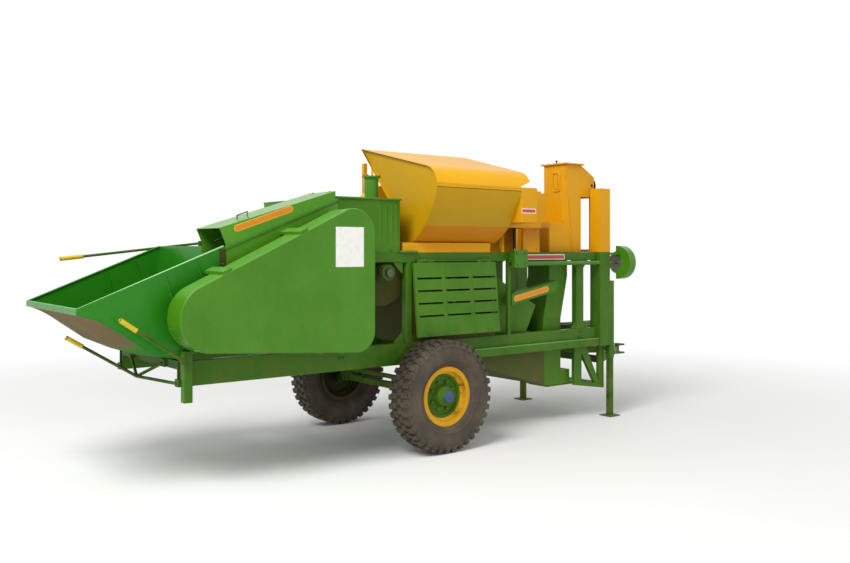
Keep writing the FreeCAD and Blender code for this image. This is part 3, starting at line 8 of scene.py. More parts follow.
import bmesh
import bpy
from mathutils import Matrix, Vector


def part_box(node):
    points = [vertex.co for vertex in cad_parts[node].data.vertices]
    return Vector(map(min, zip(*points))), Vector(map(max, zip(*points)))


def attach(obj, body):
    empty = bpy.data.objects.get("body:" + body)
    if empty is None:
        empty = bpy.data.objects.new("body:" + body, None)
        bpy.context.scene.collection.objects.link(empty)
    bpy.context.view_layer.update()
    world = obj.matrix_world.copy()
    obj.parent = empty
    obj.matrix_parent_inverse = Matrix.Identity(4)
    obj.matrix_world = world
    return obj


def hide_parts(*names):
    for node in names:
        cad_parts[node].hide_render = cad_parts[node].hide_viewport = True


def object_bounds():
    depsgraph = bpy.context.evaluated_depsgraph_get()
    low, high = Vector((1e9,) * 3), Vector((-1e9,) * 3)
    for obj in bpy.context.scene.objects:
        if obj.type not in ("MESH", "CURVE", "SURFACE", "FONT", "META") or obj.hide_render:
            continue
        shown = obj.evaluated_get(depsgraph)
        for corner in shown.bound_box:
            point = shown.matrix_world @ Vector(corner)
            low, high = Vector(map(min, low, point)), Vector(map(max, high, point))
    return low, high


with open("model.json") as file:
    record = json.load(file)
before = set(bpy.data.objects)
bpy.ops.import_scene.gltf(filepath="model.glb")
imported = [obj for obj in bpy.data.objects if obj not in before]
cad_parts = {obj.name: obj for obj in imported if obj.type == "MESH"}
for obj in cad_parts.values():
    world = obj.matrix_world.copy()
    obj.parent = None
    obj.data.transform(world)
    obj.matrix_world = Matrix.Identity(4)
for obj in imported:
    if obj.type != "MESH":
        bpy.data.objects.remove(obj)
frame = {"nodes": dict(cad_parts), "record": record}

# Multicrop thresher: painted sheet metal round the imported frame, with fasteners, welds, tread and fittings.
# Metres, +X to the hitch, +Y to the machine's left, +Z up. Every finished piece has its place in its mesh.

log = logging.getLogger("thresher")
MM = 0.001
CAD_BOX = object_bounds()
BODY_OF = {node: body for body, nodes in frame["record"]["behaviour"]["bodies"].items() for node in nodes}
SLOT_OF = {part["node"]: part["material_slot"] for part in frame["record"]["subparts"]}
UP = (0.0, 0.0, 1.0)
BOTH = (-1.0, 1.0)                 # the machine's right and left side
Point = tuple[float, float, float]
Pair = tuple[float, float]         # X and Z on a side wall, or two sizes that belong together
Socket = bpy.types.NodeSocket


# ------------------------------------------------------------------ helpers

def linear(code: str) -> tuple[float, float, float, float]:
    """Turn an sRGB hex value into a linear colour.

    Args:
        code: The colour, such as "#2c7a1c".

    Returns:
        Red, green, blue and alpha, linear.
    """
    parts = [int(code[i:i + 2], 16) / 255.0 for i in (1, 3, 5)]
    red, green, blue = (v / 12.92 if v <= 0.04045 else ((v + 0.055) / 1.055) ** 2.4 for v in parts)
    return red, green, blue, 1.0


def add(tree: bpy.types.NodeTree, kind: str, values: dict | None = None, out: int | str = 0,
        **options) -> Socket:
    """Add one node to a tree.

    Args:
        tree: The shader or geometry tree.
        kind: The node's type.
        values: Its inputs by name or index: a socket is plugged in, anything else is set.
        out: The output that is wanted, by name or index.
        options: The node's own settings, such as its operation.

    Returns:
        That output of the new node.
    """
    node = tree.nodes.new(kind)
    for key, value in options.items():
        setattr(node, key, value)
    for key, value in (values or {}).items():
        if isinstance(value, Socket):
            tree.links.new(value, node.inputs[key])
        else:
            node.inputs[key].default_value = value
    return node.outputs[out] if node.outputs else None


def points_of(node: str) -> list[Vector]:
    """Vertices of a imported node."""
    return [vertex.co for vertex in frame["nodes"][node].data.vertices]


def highest_at(node: str, x: float) -> float:
    """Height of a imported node's highest vertex within 6 mm of one X."""
    return max(p.z for p in points_of(node) if abs(p.x - x) < 6 * MM)


# ------------------------------------------------------------------ finishes

class Recipe:
    """A material in the making, with its shader and the place on the piece."""

    def __init__(self, title: str) -> None:
        """Start a material.

        Args:
            title: Its name.
        """
        self.material = bpy.data.materials.new(title)
        self.material.use_nodes = True
        self.tree = self.material.node_tree
        self.shader = self.tree.nodes["Principled BSDF"]
        self.place = self.add("TexCoord", out="Object")

    def add(self, kind: str, values: dict | None = None, out: int | str = 0, **options) -> Socket:
        """Add one shader node, as add() does."""
        return add(self.tree, "ShaderNode" + kind, values, out, **options)

    def finish(self, values: dict[str, Socket | float]) -> bpy.types.Material:
        """Feed the shader.

        Args:
            values: Its inputs by name: a socket is plugged in, a number is set on the shader itself.

        Returns:
            The material.
        """
        for name, value in values.items():
            if isinstance(value, Socket):
                self.tree.links.new(value, self.shader.inputs[name])
            else:
                self.shader.inputs[name].default_value = value
        return self.material


@dataclass(frozen=True)
class Enamel:
    """Alkyd enamel sprayed on mild sheet steel: glossy, a little uneven, dusty where field dust settles."""

    title: str
    fresh: str
    faded: str
    dust: str = "#7b7434"
    dustiness: float = 0.10
    roughness: float = 0.34
    gloss: float = 0.16
    primer: str = "#5f5342"
    underside: str | None = None   # painted shade where the sheet faces down
    crown: str | None = None       # painted highlight, the sky's reflection, where the sheet faces the sky
    inboard: str | None = None     # darker colour on a wheel's inner half and on faces that turn inwards
    inner_from: float = 0.752      # half width of the machine at which that side begins
    bare_below: bool = False       # matt below, and bare sheet behind bare_from and inside bare_within
    bare_from: float = -2.50
    bare_within: float = 0.548
    bare: tuple[str, str] = ("#5c4d30", "#7a6a48")
    soft: float = 8 * MM           # width over which one colour turns into another
    patch_mm: float = 620.0
    settle_mm: float = 150.0
    ripple_mm: float = 260.0
    peel_mm: float = 9.0           # real orange peel is about 2 mm, drawn coarser so that it shows
    chip_mm: float = 16.0

    def build(self, worn: bool) -> bpy.types.Material:
        """Make the material.

        Args:
            worn: True for the bend lines and corners, where the coat is chipped more.

        Returns:
            The material.
        """
        recipe = Recipe(self.title + (" with rubbed edges" if worn else ""))
        add, place = recipe.add, recipe.place
        normal = add("NewGeometry", out="Normal")
        up = add("SeparateXYZ", {0: normal}, "Z")
        patch = add("TexNoise", {"Vector": place, "Scale": 1000.0 / self.patch_mm, "Detail": 4.0,
                                 "Roughness": 0.6})
        tone = add("MapRange", {"Value": patch, "From Min": 0.36, "From Max": 0.64})
        colour = add("Mix", {0: tone, 6: linear(self.fresh), 7: linear(self.faded)}, 2, data_type="RGBA")
        settle = add("TexNoise", {"Vector": place, "Scale": 1000.0 / self.settle_mm, "Detail": 8.0,
                                  "Roughness": 0.68})
        dust = self.dust_share(recipe, up, settle)
        colour = add("Mix", {0: dust, 6: colour, 7: linear(self.dust)}, 2, data_type="RGBA")
        for shade, share in self.shades(recipe, normal, up):
            colour = add("Mix", {0: share, 6: colour, 7: linear(shade)}, 2, data_type="RGBA")
        flake = add("TexNoise", {"Vector": place, "Scale": 1000.0 / self.chip_mm, "Detail": 5.0,
                                 "Roughness": 0.55})
        bite = 0.56 if worn else 0.735
        chip = add("MapRange", {"Value": flake, "From Min": bite, "From Max": bite + 0.03, "To Max": 0.8})
        colour = add("Mix", {0: chip, 6: colour, 7: linear(self.primer)}, 2, data_type="RGBA")
        rough = add("MapRange", {"Value": dust, "From Max": 0.5, "To Min": self.roughness, "To Max": 0.72})
        if self.bare_below:
            under = add("MapRange", {"Value": up, "From Min": -0.22, "From Max": -0.34})
            share = self.bare_share(recipe, under)
            mill = add("Mix", {0: settle, 6: linear(self.bare[0]), 7: linear(self.bare[1])}, 2,
                       data_type="RGBA")
            colour = add("Mix", {0: share, 6: colour, 7: mill}, 2, data_type="RGBA")
            rough = add("Mix", {0: under, 2: rough, 3: 0.9}, data_type="FLOAT")
        wave = add("TexNoise", {"Vector": place, "Scale": 1000.0 / self.ripple_mm, "Detail": 1.5})
        peel = add("TexNoise", {"Vector": place, "Scale": 1000.0 / self.peel_mm, "Detail": 2.0})
        relief = add("Bump", {"Height": wave, "Strength": 0.6, "Distance": 9 * MM})
        relief = add("Bump", {"Height": peel, "Normal": relief, "Strength": 0.10, "Distance": 0.8 * MM})
        relief = add("Bump", {"Height": chip, "Normal": relief, "Strength": 0.5, "Distance": 0.4 * MM},
                     invert=True)
        return recipe.finish({"Base Color": colour, "Roughness": rough, "Normal": relief, "IOR": 1.5,
                              "Specular IOR Level": self.gloss})

    def dust_share(self, recipe: Recipe, up: Socket, settle: Socket) -> Socket:
        """Share of dust: in streaks and patches, more low on the machine and on ledges.

        Args:
            recipe: The material.
            up: Upward part of the surface's direction.
            settle: Pattern of the patches.

        Returns:
            The share, from 0 to 1.
        """
        add = recipe.add
        runs = add("Mapping", {"Vector": recipe.place, "Scale": (22.0, 22.0, 1.6)})
        streak = add("TexNoise", {"Vector": runs, "Scale": 1.0, "Detail": 3.0})
        blend = add("Math", {0: streak, 1: 0.45, 2: settle}, operation="MULTIPLY_ADD")
        film = add("MapRange", {"Value": blend, "From Min": 0.62, "From Max": 0.98, "To Max": self.dustiness})
        low = add("MapRange", {"Value": add("SeparateXYZ", {0: recipe.place}, "Z"), "From Min": 1.9,
                               "From Max": 0.2, "To Min": 0.45, "To Max": 1.9})
        ledge = add("MapRange", {"Value": up, "From Min": 0.5, "From Max": 1.0, "To Min": 1.0, "To Max": 1.7})
        weight = add("Math", {0: low, 1: ledge}, operation="MULTIPLY")
        return add("Math", {0: film, 1: weight}, operation="MULTIPLY", use_clamp=True)

    def shades(self, recipe: Recipe, normal: Socket, up: Socket) -> Iterator[tuple[str, Socket]]:
        """Colours that lie over the coat in places, each with its share: painted shade below, a painted
        highlight above and a darker wheel inside.

        Args:
            recipe: The material.
            normal: The surface's direction.
            up: Its upward part.

        Returns:
            (colour, share) pairs.
        """
        add = recipe.add
        # Painted shade: a darker colour on faces that look down.
        if self.underside:
            yield self.underside, add("MapRange", {"Value": up, "From Min": 0.25, "From Max": -0.55})
        # Painted highlight: a lighter colour on faces that look up at the sky.
        if self.crown:
            yield self.crown, add("MapRange", {"Value": up, "From Min": 0.55, "From Max": 0.85})
        if self.inboard:
            across = add("SeparateXYZ", {0: recipe.place}, "Y")
            side = add("Math", {0: across}, operation="SIGN")
            outward = add("Math", {0: add("SeparateXYZ", {0: normal}, "Y"), 1: side}, operation="MULTIPLY")
            half = add("Math", {0: across}, operation="ABSOLUTE")
            behind = add("MapRange", {"Value": half, "From Min": self.inner_from,
                                      "From Max": self.inner_from - self.soft})
            turned = add("MapRange", {"Value": outward, "From Min": -0.2, "From Max": -0.6})
            yield self.inboard, add("Math", {0: behind, 1: turned}, operation="MAXIMUM")

    def bare_share(self, recipe: Recipe, under: Socket) -> Socket:
        """Share of bare sheet, on the underside behind bare_from and inside bare_within.

        Args:
            recipe: The material.
            under: Share of the underside.

        Returns:
            The share, from 0 to 1.
        """
        add = recipe.add
        along = add("SeparateXYZ", {0: recipe.place}, "X")
        half = add("Math", {0: add("SeparateXYZ", {0: recipe.place}, "Y")}, operation="ABSOLUTE")
        behind = add("MapRange", {"Value": along, "From Min": self.bare_from,
                                  "From Max": self.bare_from - 10.0 * self.soft})
        inside = add("MapRange", {"Value": half, "From Min": self.bare_within,
                                  "From Max": self.bare_within - self.soft})
        there = add("Math", {0: behind, 1: inside}, operation="MULTIPLY")
        return add("Math", {0: under, 1: there}, operation="MULTIPLY")


@dataclass(frozen=True)
class Rubber:
    """Vulcanised tyre rubber: matt black-brown, with dry soil dust rubbed into it."""

    title: str
    black: str = "#332c25"
    soil: str = "#74674f"
    soil_share: float = 0.56
    cake_mm: float = 160.0
    grain_mm: float = 7.0          # real grain is under 1 mm, drawn coarser so that it shows

    def build(self, worn: bool) -> bpy.types.Material:
        """Make the material.

        Args:
            worn: True for the tread blocks, which carry more soil.

        Returns:
            The material.
        """
        recipe = Recipe(self.title + (" on the tread" if worn else ""))
        add, place = recipe.add, recipe.place
        least, from_share, extra = (0.30, 0.26, 0.18) if worn else (0.10, 0.42, 0.0)
        cake = add("TexNoise", {"Vector": place, "Scale": 1000.0 / self.cake_mm, "Detail": 9.0,
                                "Roughness": 0.62})
        share = add("MapRange", {"Value": cake, "From Min": from_share, "From Max": 0.72, "To Min": least,
                                 "To Max": self.soil_share + extra})
        colour = add("Mix", {0: share, 6: linear(self.black), 7: linear(self.soil)}, 2, data_type="RGBA")
        grain = add("TexNoise", {"Vector": place, "Scale": 1000.0 / self.grain_mm, "Detail": 4.0})
        relief = add("Bump", {"Height": grain, "Strength": 0.35, "Distance": 1.2 * MM})
        rough = add("MapRange", {"Value": share, "To Min": 0.62, "To Max": 0.95})
        return recipe.finish({"Base Color": colour, "Roughness": rough, "Normal": relief})


@dataclass(frozen=True)
class Metal:
    """Bare or plated steel: turned, drawn or zinc coated, with oil and rust stains."""

    title: str
    clean: str
    stain: str
    roughness: float = 0.38
    grain_mm: float = 40.0
    drawn: Point = (1.0, 1.0, 1.0)  # how the stains are squeezed along X, Y and Z

    def build(self, worn: bool) -> bpy.types.Material:
        """Make the material.

        Args:
            worn: True for more stain.

        Returns:
            The material.
        """
        recipe = Recipe(self.title + (" stained" if worn else ""))
        add = recipe.add
        place = add("Mapping", {"Vector": recipe.place, "Scale": self.drawn})
        spot = add("TexNoise", {"Vector": place, "Scale": 1000.0 / self.grain_mm, "Detail": 7.0,
                                "Roughness": 0.62})
        share = add("MapRange", {"Value": spot, "From Min": 0.42 if worn else 0.52, "From Max": 0.74})
        colour = add("Mix", {0: share, 6: linear(self.clean), 7: linear(self.stain)}, 2, data_type="RGBA")
        rough = add("MapRange", {"Value": share, "To Min": self.roughness, "To Max": 0.78})
        relief = add("Bump", {"Height": spot, "Strength": 0.25, "Distance": 0.3 * MM})
        return recipe.finish({"Base Color": colour, "Roughness": rough, "Normal": relief, "Metallic": 1.0})


@dataclass(frozen=True)
class Plastic:
    """Moulded or calendered plastic, such as a PVC grip or a vinyl stripe: even, slightly soiled."""

    title: str
    fresh: str
    soiled: str
    roughness: float = 0.45
    soil_mm: float = 35.0

    def build(self, worn: bool) -> bpy.types.Material:
        """Make the material.

        Args:
            worn: True for more soil.

        Returns:
            The material.
        """
        recipe = Recipe(self.title + (" soiled" if worn else ""))
        add = recipe.add
        soil = add("TexNoise", {"Vector": recipe.place, "Scale": 1000.0 / self.soil_mm, "Detail": 6.0,
                                "Roughness": 0.65})
        share = add("MapRange", {"Value": soil, "From Min": 0.48, "From Max": 0.80,
                                 "To Max": 0.8 if worn else 0.5})
        colour = add("Mix", {0: share, 6: linear(self.fresh), 7: linear(self.soiled)}, 2, data_type="RGBA")
        relief = add("Bump", {"Height": soil, "Strength": 0.2, "Distance": 0.3 * MM})
        return recipe.finish({"Base Color": colour, "Normal": relief, "Roughness": self.roughness})


class Finish(Enum):
    """The finishes found on the machine."""

    # GREEN's crown colour is a painted highlight, the sky's reflection on faces that look up.
    GREEN = Enamel("gloss green enamel", "#3e780e", "#488416", roughness=0.24, gloss=0.30, crown="#5f9a3c")
    # LID: brighter green; on the channel's side it is painted light that lifts the shade under the lid.
    LID = Enamel("fresh green enamel on the lid and channel", "#4a8a16", "#559620", dustiness=0.04,
                 roughness=0.26, gloss=0.25)
    BODY = Enamel("green enamel on the body panels", "#3c7010", "#487c1a", dustiness=0.18)
    FRAME = Enamel("weathered green enamel on the frame", "#366810", "#42721a", dustiness=0.24)
    HOPPER = Enamel("gloss green enamel on the hopper", "#1f7410", "#2a7e16", dustiness=0.0, roughness=0.26,
                    gloss=0.25, bare_below=True)
    # Painted highlight: pale green on the hopper's near rim.
    NEAR_RIM_HIGHLIGHT = Enamel("green enamel worn thin on the rim", "#9fcb92", "#aed6a2", dustiness=0.0, roughness=0.3)
    # Painted highlight: lighter green on the hopper's lip and along the rails' steps.
    EDGE_HIGHLIGHT_GREEN = Enamel("green enamel bleached on the lip", "#5cab42", "#68b550", dustiness=0.0, roughness=0.4)
    # YELLOW's underside colour is painted shade on faces that look down.
    YELLOW = Enamel("gloss chrome yellow enamel", "#e6a608", "#ecb010", dust="#a08436", dustiness=0.06,
                    underside="#b8720a")
    # Painted shade: darker yellow on the hood's face and end plate.
    SHADED_HOOD_YELLOW = Enamel("chrome yellow enamel on the hood's face", "#bc900a", "#c3970e", dust="#8d742c")
    # Painted shade: orange below the hood's face, under its overhang.
    UNDER_HOOD_SHADE = Enamel("orange undercoat below the hood", "#c67a0a", "#cd8410", dust="#8a6a30", dustiness=0.15,
                    roughness=0.5)
    RIM = Enamel("yellow rim enamel", "#dea20a", "#d69c10", dustiness=0.16, roughness=0.32, gloss=0.25,
                 inboard="#3a3018")
    DISC = Enamel("dusty green wheel enamel", "#3b6a14", "#46751c", dustiness=0.22, roughness=0.42,
                  inboard="#2a3310")
    DARK_GREEN = Enamel("dull green enamel on the underframe", "#2f5714", "#38601c", dustiness=0.35,
                        roughness=0.48)
    OLIVE = Enamel("soiled green enamel on the drum casing", "#383c12", "#434818", dust="#5a4f26",
                   dustiness=0.5, roughness=0.6)
    # PAN's dark olive green is painted shade on the grain pan; its dust share is real dust.
    PAN = Enamel("soiled green enamel on the grain pan", "#475420", "#535e28", dust="#5e5a34", dustiness=0.6,
                 roughness=0.6)
    BLACK = Enamel("black chassis enamel", "#17181a", "#202124", dustiness=0.35, roughness=0.42,
                   primer="#4b3d33")
    TYRE = Rubber("cross-ply tyre rubber")
    SHAFT = Metal("turned shaft steel", "#9d9992", "#6a4a33", drawn=(0.3, 3.0, 3.0))
    OILED = Metal("oiled shaft steel", "#6a655c", "#3a3027", roughness=0.5)
    ZINC = Metal("zinc plated steel", "#b9bab4", "#7d7a70", roughness=0.42, grain_mm=12.0)
    GALVANISED = Metal("galvanised sheet", "#a9aca8", "#7f7c72", roughness=0.5, grain_mm=30.0)
    GRIP = Plastic("yellow grip tube", "#d4b611", "#a8952e")
    STRIPE = Plastic("orange vinyl stripe", "#e2860f", "#b46a1f")
    STRIPE_EDGE = Plastic("yellow vinyl border", "#f0b32a", "#c39233", roughness=0.35)
    RED_TAPE = Plastic("red reflective tape", "#c0392f", "#93423a", roughness=0.3)
    WHITE_SHEET = Plastic("white vinyl sheet", "#efeee8", "#cfcabb", roughness=0.4)
    CAP = Plastic("blue nylon hub cap", "#34457a", "#3e4a63", roughness=0.4)
    BELT_RUBBER = Plastic("black belt rubber", "#1c1b1b", "#3b3733", roughness=0.7)

    def material(self, worn: bool = False) -> bpy.types.Material:
        """The finish's material, made once.

        Args:
            worn: True for its worn version.

        Returns:
            The material.
        """
        key = (self.name, worn)
        if key not in STOCK:
            STOCK[key] = self.value.build(worn)
        return STOCK[key]


STOCK: dict[tuple[str, bool], bpy.types.Material] = {}


# ------------------------------------------------------------------ pieces

def piece(name: str, mesh: bpy.types.Mesh, body: str, slot: str, *replaced: str) -> None:
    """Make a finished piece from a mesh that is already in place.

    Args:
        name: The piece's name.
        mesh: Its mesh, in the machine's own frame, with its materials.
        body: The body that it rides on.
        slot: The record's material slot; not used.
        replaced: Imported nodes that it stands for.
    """
    thing = bpy.data.objects.new(name, mesh)
    bpy.context.scene.collection.objects.link(thing)
    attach(thing, body)
    if replaced:
        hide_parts(*replaced)
    log.info("%-28s %6d faces on %s", name, len(mesh.polygons), body)


def settled(thing: bpy.types.Object) -> bpy.types.Mesh:
    """Turn an object with modifiers into a plain mesh and remove the object.

    Args:
        thing: A temporary object.

    Returns:
        Its evaluated mesh.
    """
    bpy.context.view_layer.update()
    depsgraph = bpy.context.evaluated_depsgraph_get()
    mesh = bpy.data.meshes.new_from_object(thing.evaluated_get(depsgraph))
    thing.modifiers.clear()
    bpy.data.objects.remove(thing)
    return mesh


def slender(face: bmesh.types.BMFace) -> float:
    """Rough width of a face: its area over its longest edge."""
    return face.calc_area() / max(edge.calc_length() for edge in face.edges)


def rounded(mesh: bpy.types.Mesh, width: float, steps: int = 2, crease: float = 34.0) -> bpy.types.Mesh:
    """Round the folded edges of a sheet-metal mesh and shade it smooth.

    Args:
        mesh: A closed mesh with its materials; its second material goes on the rounded edges. Bevel weights
            that it already holds are kept.
        width: Width of the rounding, in metres.
        steps: Segments across it.
        crease: Largest angle in degrees that is shaded smooth.

    Returns:
        The finished mesh.
    """
    if width > 0.0 and "bevel_weight_edge" not in mesh.attributes:
        work = bmesh.new()
        work.from_mesh(mesh)
        layer = work.edges.layers.float.new("bevel_weight_edge")
        for edge in work.edges:
            if len(edge.link_faces) == 2 and edge.is_convex and edge.calc_face_angle() > math.radians(38):
                if min(slender(face) for face in edge.link_faces) > 2.6 * width:
                    edge[layer] = 1.0
        work.to_mesh(mesh)
        work.free()
    mesh.shade_smooth()
    mesh.set_sharp_from_angle(angle=math.radians(crease))
    holder = bpy.data.objects.new("holder", mesh)
    bpy.context.scene.collection.objects.link(holder)
    if width > 0.0:
        bevel = holder.modifiers.new("fold", "BEVEL")
        bevel.limit_method = "WEIGHT"
        bevel.width = width
        bevel.segments = steps
        bevel.material = min(1, len(mesh.materials) - 1)
    weighted = holder.modifiers.new("flat faces", "WEIGHTED_NORMAL")
    weighted.keep_sharp = True
    return settled(holder)


def merged_copy(node: str) -> bmesh.types.BMesh:
    """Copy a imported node's mesh with its doubles merged and its flat faces whole.

    Faces that reach the model's full width move inwards a little, so that what is stuck on them fits.

    Args:
        node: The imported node.

    Returns:
        The copy.
    """
    work = bmesh.new()
    work.from_mesh(frame["nodes"][node].data)
    bmesh.ops.remove_doubles(work, verts=work.verts, dist=0.01 * MM)
    bmesh.ops.dissolve_limit(work, angle_limit=math.radians(0.5), verts=work.verts, edges=work.edges)
    limit = CAD_BOX[1][1] - 1.5 * MM
    for vert in work.verts:
        if abs(vert.co.y) > limit:
            vert.co.y -= math.copysign(2 * MM, vert.co.y)
    return work


def coated(node: str, work: bmesh.types.BMesh, coats: Sequence[bpy.types.Material], width: float,
           steps: int = 2) -> None:
    """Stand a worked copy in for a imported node.

    Args:
        node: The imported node.
        work: Its worked copy, which is freed.
        coats: Materials by index; the second goes on the rounded edges.
        width: Rounding of its edges.
        steps: Segments across the rounding.
    """
    mesh = bpy.data.meshes.new(node + "_painted")
    work.to_mesh(mesh)
    work.free()
    for coat in coats:
        mesh.materials.append(coat)
    piece(node + "_painted", rounded(mesh, width, steps), BODY_OF[node], SLOT_OF[node], node)


def paint(finish: Finish, fold_mm: float, *nodes: str, steps: int = 2) -> None:
    """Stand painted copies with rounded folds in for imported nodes.

    Args:
        finish: Their finish.
        fold_mm: Rounding of their folds and corners; 0 keeps them as they are.
        nodes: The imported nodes.
        steps: Segments across each rounding.
    """
    for node in nodes:
        coated(node, merged_copy(node), (finish.material(), finish.material(worn=True)), fold_mm * MM, steps)


class Sheet:
    """A mesh put together from plates, bars and turned forms."""

    def __init__(self, *finishes: Finish) -> None:
        """Start an empty mesh with its finishes."""
        self.work = bmesh.new()
        self.finishes = finishes

    def block(self, low: Sequence[float], high: Sequence[float], finish: int = 0) -> None:
        """Add a block.

        Args:
            low: One corner.
            high: The opposite corner.
            finish: Index of its finish.
        """
        verts = [self.work.verts.new((x, y, z)) for x in (low[0], high[0]) for y in (low[1], high[1])
                 for z in (low[2], high[2])]
        for loop in ((0, 1, 3, 2), (4, 6, 7, 5), (0, 4, 5, 1), (2, 3, 7, 6), (0, 2, 6, 4), (1, 5, 7, 3)):
            self.work.faces.new([verts[i] for i in loop]).material_index = finish

    def prism(self, outline: Sequence[Sequence[float]], depth: Sequence[float], finish: int = 0) -> None:
        """Add a straight prism.

        Args:
            outline: Corners in space.
            depth: Vector from the first end to the other.
            finish: Index of its finish.
        """
        ends = [[self.work.verts.new(Vector(p) + shift) for p in outline]
                for shift in (Vector(), Vector(depth))]
        self.skin(ends, finish)

    def skin(self, rings: Sequence[Sequence[bmesh.types.BMVert]], finish: int, closed: bool = False) -> None:
        """Join rings of vertices into a tube.

        Args:
            rings: The rings, from one end to the other; a ring of one vertex is a pole.
            finish: Index of its finish.
            closed: True where the last ring meets the first; otherwise the ends are capped.
        """
        faces = []
        for lower, upper in zip(rings, [*rings[1:], rings[0]] if closed else rings[1:]):
            count = max(len(lower), len(upper))
            for k in range(count if len(lower) + len(upper) > 2 else 0):
                loop = (lower[k % len(lower)], lower[(k + 1) % count % len(lower)],
                        upper[(k + 1) % count % len(upper)], upper[k % len(upper)])
                faces.append(self.work.faces.new(list(dict.fromkeys(loop))))
        for ring in () if closed else (rings[0][::-1], rings[-1]):
            if len(ring) > 1:
                faces.append(self.work.faces.new(ring))
        for face in faces:
            face.material_index = finish

    def turned(self, profile: Iterable[Sequence[float]], base: Sequence[float], axis: Sequence[float],
               sides: int = 24, closed: bool = False) -> None:
        """Add a form turned on a lathe.

        Args:
            profile: (radius, height) points from one end to the other; a radius of 0 closes an end.
            base: Point on the axis at height 0.
            axis: Direction of rising height.
            sides: Number of sides.
            closed: True for a ring, whose profile is a loop.
        """
        along = Vector(axis).normalized()
        across = along.orthogonal().normalized()
        side = along.cross(across)
        arms = [across * math.cos(math.tau * k / sides) + side * math.sin(math.tau * k / sides)
                for k in range(sides)]
        rings = []
        for radius, height in profile:
            middle = Vector(base) + along * height
            ring = [middle] if radius < 0.001 * MM else [middle + arm * radius for arm in arms]
            rings.append([self.work.verts.new(place) for place in ring])
        self.skin(rings, 0, closed)

    def bar(self, route: Iterable[Sequence[float]], radius: float, sides: int = 10, finish: int = 0) -> None:
        """Add a round bar along straight runs, mitred at the corners.

        Args:
            route: Points along its middle.
            radius: Its radius.
            sides: Number of sides.
            finish: Index of its finish.
        """
        points = [Vector(p) for p in route]
        rings = []
        across = (points[1] - points[0]).normalized().orthogonal().normalized()
        for i, point in enumerate(points):
            before = (point - points[i - 1]).normalized() if i else (points[1] - point).normalized()
            after = (points[i + 1] - point).normalized() if i + 1 < len(points) else before
            along = (before + after).normalized()
            across = (across - along * across.dot(along)).normalized()
            side = along.cross(across)
            mitre = (after - before).normalized() if (after - before).length > 1e-6 else Vector()
            stretch = 1.0 / max(0.5, along.dot(before)) - 1.0
            ring = []
            for k in range(sides):
                turn = math.tau * k / sides
                arm = (across * math.cos(turn) + side * math.sin(turn)) * radius
                ring.append(self.work.verts.new(point + arm + mitre * arm.dot(mitre) * stretch))
            rings.append(ring)
        self.skin(rings, finish)

    def finish(self, name: str, body: str = "frame", slot: str = "green_paint", *replaced: str,
               fold_mm: float = 0.0, crease: float = 34.0) -> None:
        """Close the mesh and make the piece.

        Args:
            name: The piece's name.
            body: The body that it rides on.
            slot: The record's material slot.
            replaced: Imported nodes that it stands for.
            fold_mm: Rounding of its edges.
            crease: Largest angle in degrees that is shaded smooth.
        """
        bmesh.ops.recalc_face_normals(self.work, faces=self.work.faces)
        mesh = bpy.data.meshes.new(name)
        self.work.to_mesh(mesh)
        self.work.free()
        for item in self.finishes:
            mesh.materials.append(item.material())
        piece(name, rounded(mesh, fold_mm * MM, crease=crease), body, slot, *replaced)


# ------------------------------------------------------------------ repeated pieces

class Unit(Enum):
    """What a growing tree repeats."""

    HEX_BOLT = "hexagon head on a washer"
    RIVET = "domed rivet head"
    WELD = "ripple of a weld bead"
    SLAT = "flat slat across the path"
    LOUVRE = "scooped louvre"
    TREAD_BLOCK = "block of tyre tread"


